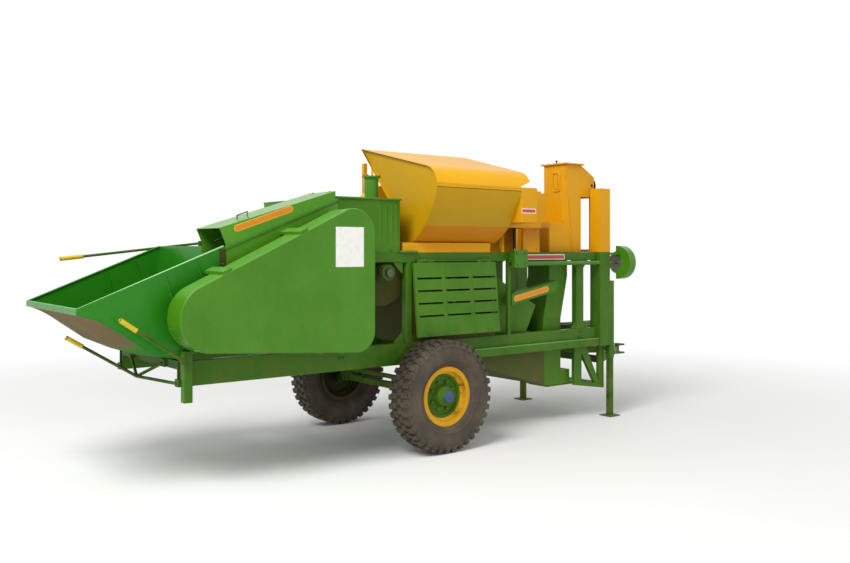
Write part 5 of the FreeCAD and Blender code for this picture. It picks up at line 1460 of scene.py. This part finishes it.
@dataclass
class BeltGuard:
    """Large pressed cover over the feed drive, with a softly rounded outer edge and a blank plate."""

    edge: float = 9 * MM
    plate: tuple[Pair, Pair] = ((-1.248, 1.476), (-1.009, 1.762))

    def build(self) -> None:
        """Round the outer edge, paint the brackets and stick on a white vinyl sheet with nothing on it."""
        work = merged_copy("belt_guard")
        layer = work.edges.layers.float.new("bevel_weight_edge")
        face = min(vert.co.y for vert in work.verts)
        for edge in work.edges:
            if all(vert.co.y < face + 0.1 * MM for vert in edge.verts) and edge.calc_face_angle(0.0) > 1.0:
                edge[layer] = 1.0
        coated("belt_guard", work, (Finish.GREEN.material(),), self.edge, 4)
        paint(Finish.GREEN, 2.0, "guard_brackets")
        (x0, z0), (x1, z1) = self.plate
        sheet = Sheet(Finish.WHITE_SHEET)
        sheet.block((x0, face - 1.2 * MM, z0), (x1, face + 0.5 * MM, z1))
        sheet.finish("belt_guard_blank_sheet", slot="galvanised")


@dataclass
class HandControls:
    """Hand levers with their yellow grips."""

    radius: float = 15.8 * MM
    rib_pitch: float = 9 * MM
    upper_grip: tuple[Point, Point] = ((-2.543, 0.596, 1.549), (-2.708, 0.596, 1.531))

    def build(self) -> None:
        """Paint the levers and push the grips on."""
        paint(Finish.DARK_GREEN, 1.0, "control_levers")
        low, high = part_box("rear_leg")
        x, y, z = low.x, low.y - 15 * MM, high.z - 57 * MM
        self.grip("right_grip", (x - 0.320, y, z + 0.212), (x - 0.4295, y, z + 0.2885))
        self.grip("low_grip", (x - 0.455, 0.0, 0.940), (x - 0.5615, 0.0, 1.0067))
        self.grip("upper_grip", *self.upper_grip)

    def grip(self, name: str, start: Point, end: Point) -> None:
        """Ribbed tube with a rounded end.

        Args:
            name: The grip's name.
            start: Middle of its open end.
            end: Middle of its closed end.
        """
        run = Vector(end) - Vector(start)
        length, r = run.length, self.radius
        profile = [(r * 0.9, 0.0), (r * 1.05, 3 * MM), (r * 1.05, 8 * MM), (r, 11 * MM)]
        for k in range(int((length - 30 * MM) / self.rib_pitch)):
            z = 14 * MM + k * self.rib_pitch
            profile += [(r, z), (r * 0.965, z + 3 * MM), (r, z + 6 * MM)]
        profile += [(r, length - 6 * MM), (r * 0.85, length - 1 * MM), (r * 0.5, length + 1.5 * MM),
                    (0.0, length + 2 * MM)]
        tube = Sheet(Finish.GRIP)
        tube.turned(profile, start, run, 20)
        tube.finish(name, slot="yellow_paint", crease=60.0)


# ------------------------------------------------------------------ threshing and cleaning

@dataclass
class Threshing(Assembly):
    """Drum casing, its tall cover, the flanged stub and the drum."""

    lip: float = 11 * MM
    lip_depth: float = 14 * MM
    lip_rear: float = -1.045
    ribs_x: tuple[float, ...] = (-0.655, -0.600, -0.545, -0.500)
    rib_height: float = 4 * MM
    rib_halves: Pair = (14 * MM, 5 * MM)  # at its root and at its crest
    rib_rises: Pair = (0.05, 0.06)        # of root and crest above the cover's foot
    ledge: Point = (0.165, 0.024, 0.016)
    bolts_x: tuple[float, ...] = (-0.98, -0.84, -0.70, -0.56)
    bolt_rise: float = 0.022
    stub_bolts: int = 6

    def build(self) -> None:
        """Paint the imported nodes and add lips, ribs and bolts."""
        paint(Finish.OLIVE, 1.5, "drum_casing")
        paint(Finish.BODY, 1.5, "casing_cover")
        paint(Finish.GREEN, 0.0, "chaff_stub")
        paint(Finish.OILED, 2.0, "drum_rotor")
        paint(Finish.DARK_GREEN, 1.5, "drum_pulleys")
        self.cover()
        self.stub()

    def cover(self) -> None:
        """Projecting top lip, pressed ribs on the right wall, foot ledge and lower flange bolts."""
        low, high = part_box("casing_cover")
        top = highest_at("casing_cover", high.x)
        under = top - self.lip_depth
        lip = Sheet(Finish.GREEN)
        for side in BOTH:
            near, far = sorted((side * high.y, side * (high.y + self.lip)))
            lip.block((self.lip_rear, near, under), (high.x, far, top))
        lip.block((high.x, -high.y - self.lip, under), (high.x + self.lip, high.y + self.lip, top))
        lip.finish("cover_top_lip", fold_mm=2.0)
        ribs = Sheet(Finish.BODY)
        crest = low.y - self.rib_height
        wide, slim = self.rib_halves
        foot, heel = (low.z + rise for rise in self.rib_rises)
        for x in self.ribs_x:
            ribs.prism([(x - wide, low.y, foot), (x - slim, crest, heel), (x + slim, crest, heel),
                        (x + wide, low.y, foot)], (0.0, 0.0, top - low.z - 0.10))
        ribs.finish("cover_pressed_ribs")
        length, width, height = self.ledge
        ledge = Sheet(Finish.GREEN)
        ledge.block((high.x - 0.012, low.y - width, low.z), (high.x + length, low.y, low.z + height))
        ledge.finish("cover_foot_ledge", fold_mm=2.0)
        heads = [((x, side * high.y, low.z + self.bolt_rise), (0.0, side, 0.0))
                 for side in BOTH for x in self.bolts_x]
        self.hardware.bolts("cover_bolts", heads, Finish.BODY, 13.0)

    def stub(self) -> None:
        """Bolts round the stub's flange."""
        low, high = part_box("chaff_stub")
        middle = (low + high) / 2.0
        circle = (high.x - low.x) / 2.0 - 11 * MM
        turns = [math.tau * (k + 0.5) / self.stub_bolts for k in range(self.stub_bolts)]
        heads = [((middle.x + circle * math.cos(turn), middle.y + circle * math.sin(turn), high.z), UP)
                 for turn in turns]
        self.hardware.bolts("stub_flange_bolts", heads, Finish.GREEN, 10.0)


@dataclass
class LouvreDoor(Assembly):
    """Leaning side door with its louvres, folds, catches and rivets."""

    side: str
    columns: int = 3
    rows: int = 4
    row_pitch: float = 0.100
    first_row: float = 0.113       # below the panel's top
    top_fold: float = 25 * MM
    set_in: float = 60 * MM        # of the panel's top
    shift: float = 2.5 * MM        # of the columns to the front
    fold_halves: Pair = (9 * MM, 4 * MM)  # at a fold's root and at its crest
    fold_height: float = 5 * MM
    catch_inset: float = 0.12      # from the door's ends
    catch: Point = (0.02, 4 * MM, 0.012)  # half length, thickness, half height
    rivets: int = 8
    rivet_inset: float = 0.06      # from the door's ends
    rivet_drop: float = 0.03

    def build(self) -> None:
        """Paint the door and add what is pressed into it or riveted to it."""
        node = "louvre_door_" + self.side
        paint(Finish.BODY, 2.0, node)
        self.low, self.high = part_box(node)
        self.body = BODY_OF[node]
        self.out = -1.0 if self.side == "right" else 1.0
        self.top = self.high.z - self.top_fold
        self.lean = self.set_in / (self.top - self.low.z)
        self.normal = Vector((0.0, self.out, self.lean))
        self.pitch = (self.high.x - self.low.x) / self.columns
        self.louvres()
        self.folds()
        self.catches()
        z = self.top - self.rivet_drop
        start = self.low.x + self.rivet_inset
        run = self.high.x - self.rivet_inset - start
        heads = [((start + k * run / (self.rivets - 1), self.face(z), z), self.normal)
                 for k in range(self.rivets)]
        self.hardware.rivets(self.side + "_door_rivets", heads, Finish.BODY, 12.0, self.body)

    def face(self, z: float) -> float:
        """Y of the panel's outer face at height z."""
        return (self.low.y if self.out < 0.0 else self.high.y) - self.out * (z - self.low.z) * self.lean

    def louvres(self) -> None:
        """Scooped louvres in columns and rows."""
        places = []
        for i in range(self.columns):
            x = self.low.x + self.pitch * (i + 0.5) + self.shift
            for k in range(self.rows):
                z = self.top - self.first_row - k * self.row_pitch
                places.append(((x, self.face(z) - self.out * 1 * MM, z - 6 * MM), self.normal))
        mesh = self.hardware.louvre.grow(spots(places), Finish.BODY, Length=self.pitch - 40 * MM,
                                         Depth=8 * MM, Height=12 * MM)
        mesh.shade_smooth()
        mesh.set_sharp_from_angle(angle=math.radians(40))
        piece(self.side + "_door_louvres", mesh, self.body, "green_paint")

    def folds(self) -> None:
        """Pressed folds between the columns."""
        foot, head = self.low.z + 0.01, self.top - 0.01
        root = self.face(foot)
        crest = root + self.out * self.fold_height
        wide, slim = self.fold_halves
        folds = Sheet(Finish.BODY)
        for i in range(1, self.columns):
            x = self.low.x + self.pitch * i + self.shift
            folds.prism([(x - wide, root, foot), (x - slim, crest, foot), (x + slim, crest, foot),
                         (x + wide, root, foot)], (0.0, self.face(head) - root, head - foot))
        folds.finish(self.side + "_door_folds", self.body)

    def catches(self) -> None:
        """Two flat catches along the foot."""
        half, thick, rise = self.catch
        z = self.low.z + 0.020
        near, far = sorted((self.face(z), self.face(z) + self.out * thick))
        catches = Sheet(Finish.BODY)
        for x in (self.low.x + self.catch_inset, self.high.x - self.catch_inset):
            catches.block((x - half, near, z - rise), (x + half, far, z + rise))
        catches.finish(self.side + "_door_catches", self.body)


@dataclass
class Cleaning(Assembly):
    """Fan box with its louvred doors, grain pan, sieve box and transfer duct."""

    stripe: tuple[Pair, Pair] = ((0.804, 1.169), (1.195, 1.242))
    stripe_width: float = 0.050

    def build(self) -> None:
        """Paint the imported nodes, build the doors and stick the stripe on the duct."""
        paint(Finish.OLIVE, 1.5, "fan_housing")
        # The grain pan's darker green is painted shade.
        paint(Finish.PAN, 1.5, "grain_pan")
        paint(Finish.BODY, 1.5, "sieve_box")
        paint(Finish.GALVANISED, 0.0, "fan_rotor")
        for side in ("right", "left"):
            LouvreDoor(self.hardware, side).build()
        paint(Finish.BODY, 1.5, "transfer_duct")
        pill("duct_stripe", "frame", *self.stripe, self.stripe_width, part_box("transfer_duct")[0].y)


# ------------------------------------------------------------------ yellow top

@dataclass
class YellowTop(Assembly):
    """Separator base and box, chaff hood, left housing and front bulkhead."""

    seam_z: float = 2.098          # lap of the hood's roof over its face
    face_foot_z: float = 1.79      # below here the face turns orange: painted shade
    end_rim: float = 5 * MM
    end_recess: float = 26 * MM
    board_tape: tuple[Pair, Pair] = ((0.588, 1.904), (0.755, 1.945))
    rail_tape: tuple[Pair, Pair] = ((0.925, 1.508), (1.421, 1.556))
    tape_border: float = 7 * MM
    post_x: float = 0.822
    post_width: float = 0.020
    post_y: Pair = (0.02, 0.04)    # its faces inside the right wall
    post_top: float = 1.792
    box_bolts: tuple[Pair, ...] = ((0.92, 1.60), (0.92, 1.76), (1.06, 1.60), (1.06, 1.76))

    def build(self) -> None:
        """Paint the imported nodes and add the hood's seam, tape, window post and bolts."""
        paint(Finish.YELLOW, 2.0, "separator_base", "separator_box", "left_housing")
        paint(Finish.YELLOW, 1.5, "front_bulkhead")
        self.hood()
        self.hood_seam()
        self.tapes()
        self.box_fittings()

    def hood(self) -> None:
        """Hood with its end plate set back inside a rim, darker golden yellow on its face and end plate and
        orange below the face, both painted shade.
        """
        work = merged_copy("chaff_hood")
        for z in (self.seam_z, self.face_foot_z):
            bmesh.ops.bisect_plane(work, geom=work.verts[:] + work.edges[:] + work.faces[:],
                                   plane_co=(0.0, 0.0, z), plane_no=UP)
        end = min(vert.co.x for vert in work.verts)
        plate = [face for face in work.faces
                 if face.normal.x < -0.99 and face.calc_center_median().x < end + 1 * MM]
        lining = [face for face in work.faces
                  if face.normal.x > 0.99 and face.calc_center_median().x < end + 6 * MM]
        inner = {vert for face in lining for vert in face.verts}
        bmesh.ops.inset_region(work, faces=plate, thickness=self.end_rim, use_even_offset=True)
        for vert in inner | {vert for face in plate for vert in face.verts}:
            vert.co.x += self.end_recess
        # Painted shade: faces that look back and the face get darker yellow, and faces below the face get
        # orange.
        for face in work.faces:
            middle = face.calc_center_median()
            if face.normal.x < -0.9:
                face.material_index = 2
            elif face.normal.y < -0.2 and middle.z < self.seam_z:
                face.material_index = 2 if middle.z > self.face_foot_z else 3
            elif middle.z < self.face_foot_z and face.normal.z < -0.2:
                face.material_index = 3
        coated("chaff_hood", work, (Finish.YELLOW.material(), Finish.YELLOW.material(worn=True),
                                    Finish.SHADED_HOOD_YELLOW.material(), Finish.UNDER_HOOD_SHADE.material()), 1.5 * MM)

    def hood_seam(self) -> None:
        """Lapped strip where the roof's sheet folds over the face, with a dark strip below it as a painted
        shadow line.
        """
        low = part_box("chaff_hood")[0]
        face = low.y + 2 * MM
        front = max(p.x for p in points_of("chaff_hood") if p.y < low.y + 1 * MM)
        seam = Sheet(Finish.YELLOW, Finish.OLIVE)
        foot = self.seam_z - 8 * MM
        seam.block((low.x, low.y + 0.2 * MM, foot), (front, face + 1 * MM, self.seam_z + 6 * MM))
        # Dark strip under the seam: a painted shadow line.
        seam.block((low.x + 4 * MM, face - 0.4 * MM, foot - 4 * MM), (front, face + 1 * MM, foot), 1)
        seam.finish("hood_lap_seam", slot="yellow_paint")

    def tapes(self) -> None:
        """Plain red reflective tape with a white border, on the board and on the deck rail."""
        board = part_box("separator_box")[0].y + 2 * MM
        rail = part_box("separator_base")[0].y
        tape = Sheet(Finish.WHITE_SHEET, Finish.RED_TAPE)
        for ((x0, z0), (x1, z1)), face in ((self.board_tape, board), (self.rail_tape, rail)):
            film = face - 0.6 * MM
            tape.block((x0, film, z0), (x1, face, z1))
            tape.block((x0 + self.tape_border, film - 0.5 * MM, z0 + self.tape_border),
                       (x1 - self.tape_border, film, z1 - self.tape_border), 1)
        tape.finish("reflective_tape", slot="yellow_paint")

    def box_fittings(self) -> None:
        """Window post and painted flange bolts of the raised box."""
        low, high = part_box("separator_base")
        post = Sheet(Finish.BLACK)
        near, far = (-high.y + inset for inset in self.post_y)
        post.block((self.post_x - self.post_width, near, low.z), (self.post_x, far, self.post_top))
        post.finish("window_post", slot="black_paint", fold_mm=2.0)
        heads = [((x, side * high.y, z), (0.0, side, 0.0)) for side in BOTH for x, z in self.box_bolts]
        self.hardware.bolts("box_bolts", heads, Finish.YELLOW, 13.0, slot="yellow_paint")


@dataclass
class Elevator(Assembly):
    """Grain elevator: boot, leaning leg, tower, head and head drum."""

    rear_x: float = 1.535
    front_bolts_x: float = 1.7575
    bolt_rows: int = 5
    bolt_inset: float = 0.03       # of the end bolts from the tower's sides
    frame_y: Pair = (-0.412, -0.326)
    frame_z: Pair = (2.150, 2.322)
    frame_corner: float = 0.020
    bead: float = 8 * MM
    ridge_z: Pair = (2.392, 1.862)
    ridge_gap: float = 0.040       # from the pressed frame
    knob_y: float = -0.345
    knob: tuple[Pair, ...] = ((8 * MM, 0.0), (8 * MM, 10 * MM), (5 * MM, 12 * MM), (5 * MM, 20 * MM),
                              (11 * MM, 23 * MM), (11 * MM, 30 * MM), (6 * MM, 34 * MM), (0.0, 35 * MM))
    rib: float = 15 * MM
    rib_top: Pair = (1.547, 2.109)
    rib_drop: float = 0.524
    rib_lean: float = 0.045
    rib_sweep: float = 0.040       # extra lean at its foot
    rib_runs: int = 5

    def build(self) -> None:
        """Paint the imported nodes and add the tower's embossing, bolts, knob and side rib."""
        paint(Finish.BODY, 2.0, "elevator_boot", "elevator_leg")
        paint(Finish.YELLOW, 2.0, "elevator_tower")
        paint(Finish.YELLOW, 1.5, "elevator_head")
        paint(Finish.BELT_RUBBER, 2.0, "head_pulley")
        self.embossing()
        self.tower_top()
        self.side_rib()

    def embossing(self) -> None:
        """Pressed frame with rounded corners and a soft ridge down the tower's rear face."""
        (y0, y1), (z0, z1), r, rear = self.frame_y, self.frame_z, self.frame_corner, self.rear_x
        middle = (y1, (z0 + z1) / 2.0)
        loop = [middle]
        for y, z, start in ((y1 - r, z1 - r, 0.0), (y0 + r, z1 - r, 90.0), (y0 + r, z0 + r, 180.0),
                            (y1 - r, z0 + r, 270.0)):
            for k in range(5):
                turn = math.radians(start + 22.5 * k)
                loop.append((y + r * math.cos(turn), z + r * math.sin(turn)))
        loop.append(middle)
        pressed = Sheet(Finish.YELLOW)
        pressed.bar([(rear - 2 * MM, y, z) for y, z in loop], self.bead, 12)
        pressed.block((rear - 7 * MM, y0 + r, z0 + r), (rear + 1 * MM, y1 - r, z1 - r))
        pressed.bar([(rear + 5 * MM, y0 - self.ridge_gap, z) for z in self.ridge_z], self.rib - 3 * MM, 16)
        pressed.finish("tower_embossing", slot="yellow_paint", crease=50.0)

    def tower_top(self) -> None:
        """Flange bolts and a knob on the tower's top."""
        low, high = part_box("elevator_tower")
        start = low.y + self.bolt_inset
        run = high.y - self.bolt_inset - start
        heads = [((x, start + k * run / (self.bolt_rows - 1), high.z), UP)
                 for k in range(self.bolt_rows) for x in (self.rear_x - 0.013, self.front_bolts_x)]
        self.hardware.bolts("tower_bolts", heads, Finish.YELLOW, 10.0, slot="yellow_paint")
        knob = Sheet(Finish.BLACK)
        knob.turned(self.knob, (self.rear_x + 0.03, self.knob_y, high.z), UP, 16)
        knob.finish("tower_top_knob", slot="black_paint", crease=50.0)

    def side_rib(self) -> None:
        """Soft pressed rib that runs down the tower's right face and leans to the front."""
        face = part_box("elevator_head")[0].y
        x, z = self.rib_top
        shares = [k / self.rib_runs for k in range(self.rib_runs + 1)]
        rib = Sheet(Finish.YELLOW)
        rib.bar([(x + self.rib_lean * t + self.rib_sweep * t ** 3, face + 5 * MM, z - self.rib_drop * t)
                 for t in shares], self.rib, 16)
        rib.finish("tower_side_rib", slot="yellow_paint", crease=50.0)


@dataclass
class Drives(Assembly):
    """Side shaft in its tube, front pulley with half cover, and the input shaft."""

    bolts_x: Pair = (0.030, 0.127)  # from the tube's rear
    bolts_z: Pair = (0.028, 0.126)  # from the tube's foot
    nipple_x: float = 0.055
    nipple: tuple[Pair, ...] = ((5 * MM, 0.0), (5 * MM, 6 * MM), (3 * MM, 8 * MM), (3 * MM, 12 * MM),
                                (4 * MM, 14 * MM), (0.0, 17 * MM))

    def build(self) -> None:
        """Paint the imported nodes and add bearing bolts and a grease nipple."""
        paint(Finish.GREEN, 3.0, "drive_tube")
        paint(Finish.SHAFT, 1.0, "drive_shaft")
        paint(Finish.GREEN, 1.5, "pulley_guard")
        paint(Finish.SHAFT, 0.0, "pto_shaft")
        paint(Finish.DARK_GREEN, 2.0, "pto_bearings")
        low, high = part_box("drive_tube")
        heads = [((low.x + dx, low.y, low.z + dz), (0.0, -1.0, 0.0))
                 for dx in self.bolts_x for dz in self.bolts_z]
        self.hardware.bolts("side_bearing_bolts", heads, Finish.GREEN, 15.0)
        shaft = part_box("drive_shaft")
        axis_y = (shaft[0].y + shaft[1].y) / 2.0
        nipple = Sheet(Finish.ZINC)
        nipple.turned(self.nipple, (low.x + self.nipple_x, axis_y, high.z), UP, 12)
        nipple.finish("grease_nipple", slot="galvanised", crease=50.0)


# ------------------------------------------------------------------ studio

@dataclass
class Studio:
    """Pale floor, soft light and the camera."""

    camera_at: Point = (-4.6116, -6.145, 1.604)
    heading_deg: float = 38.3
    lens_mm: float = 37.27
    sensor_mm: float = 36.0
    drop: float = -0.0382          # vertical shift that puts the horizon above the middle
    sky: float = 0.58              # strength of the sky's light
    aim: Point = (0.0, 0.0, 1.2)   # where the lamps point
    floor_half: float = 60.0
    fade: Pair = (3.2, 7.5)  # distances over which the floor turns white

    def build(self) -> None:
        """Set up the whole studio."""
        self.camera()
        self.world()
        self.lamp("key", (-7.2, -3.4, 8.6), 5.0, 900.0)
        self.lamp("fill", (6.0, -6.0, 5.0), 6.0, 60.0)
        self.floor()
        bpy.context.scene.view_settings.view_transform = "Standard"

    def camera(self) -> None:
        """Level camera at the right rear of the machine."""
        data = bpy.data.cameras.new("camera")
        data.sensor_width = self.sensor_mm
        data.lens = self.lens_mm
        data.shift_y = self.drop
        camera = bpy.data.objects.new("camera", data)
        camera.location = self.camera_at
        camera.rotation_euler = (math.pi / 2.0, 0.0, -math.radians(self.heading_deg))
        bpy.context.scene.collection.objects.link(camera)
        bpy.context.scene.camera = camera

    def world(self) -> None:
        """Even sky that shows white behind the machine and in its gloss."""
        world = bpy.data.worlds.new("white studio")
        world.use_nodes = True
        bpy.context.scene.world = world
        tree = world.node_tree
        sky = tree.nodes["Background"]
        sky.inputs["Color"].default_value = linear("#ffffff")
        level = add(tree, "ShaderNodeMapRange", {"Value": self.seen_directly(tree), "To Min": self.sky,
                                                 "To Max": 1.0})
        tree.links.new(level, sky.inputs["Strength"])

    def seen_directly(self, tree: bpy.types.NodeTree) -> Socket:
        """Tell rays that show the white from those that would only add light.

        Args:
            tree: The shader tree.

        Returns:
            One where the ray is a camera, glossy or transmission ray, zero elsewhere.
        """
        rays = add(tree, "ShaderNodeLightPath").node.outputs
        shiny = add(tree, "ShaderNodeMath", {0: rays["Is Camera Ray"], 1: rays["Is Glossy Ray"]},
                    operation="MAXIMUM")
        return add(tree, "ShaderNodeMath", {0: shiny, 1: rays["Is Transmission Ray"]}, operation="MAXIMUM")

    def lamp(self, name: str, place: Point, size: float, power: float) -> None:
        """Hang a round soft lamp that points at the machine.

        Args:
            name: Its name.
            place: Its place.
            size: Its width.
            power: Its power in watts.
        """
        data = bpy.data.lights.new(name, "AREA")
        data.shape = "DISK"
        data.size = size
        data.energy = power
        lamp = bpy.data.objects.new(name, data)
        lamp.location = place
        lamp.rotation_euler = (Vector(place) - Vector(self.aim)).to_track_quat("Z", "Y").to_euler()
        bpy.context.scene.collection.objects.link(lamp)

    def floor(self) -> None:
        """Wide pale floor that turns into plain white far out."""
        recipe = Recipe("pale studio floor")
        add, tree, place = recipe.add, recipe.tree, recipe.place
        mottle = add("TexNoise", {"Vector": place, "Scale": 0.8, "Detail": 3.0})
        colour = add("Mix", {0: mottle, 6: linear("#f2f2ef"), 7: linear("#f8f8f6")}, 2, data_type="RGBA")
        material = recipe.finish({"Base Color": colour, "Roughness": 0.9, "Specular IOR Level": 0.1})
        reach = add("VectorMath", {0: place}, "Value", operation="LENGTH")
        far = add("MapRange", {"Value": reach, "From Min": self.fade[0], "From Max": self.fade[1]})
        away = add("Math", {0: far, 1: self.seen_directly(tree)}, operation="MULTIPLY")
        white = add("Emission", {"Color": linear("#ffffff"), "Strength": 1.0})
        blend = add("MixShader", {0: away, 1: recipe.shader.outputs["BSDF"], 2: white})
        tree.links.new(blend, tree.nodes["Material Output"].inputs["Surface"])
        mesh = bpy.data.meshes.new("studio_floor")
        r = self.floor_half
        mesh.from_pydata([(-r, -r, 0.0), (r, -r, 0.0), (r, r, 0.0), (-r, r, 0.0)], [], [(0, 1, 2, 3)])
        mesh.materials.append(material)
        floor = bpy.data.objects.new("studio_floor", mesh)
        bpy.context.scene.collection.objects.link(floor)


def main() -> None:
    """Build the studio and every sub-assembly in order."""
    logging.basicConfig(level=logging.INFO, format="%(message)s")
    stock = Hardware()
    for assembly in (Studio(), Underframe(stock), TrailerWheel(stock, "right"), TrailerWheel(stock, "left"),
                     FeedEnd(stock), BeltGuard(), HandControls(), Threshing(stock), Cleaning(stock),
                     YellowTop(stock), Elevator(stock), Drives(stock)):
        log.info("building %s", type(assembly).__name__)
        assembly.build()


if __name__ == "__main__":
    main()
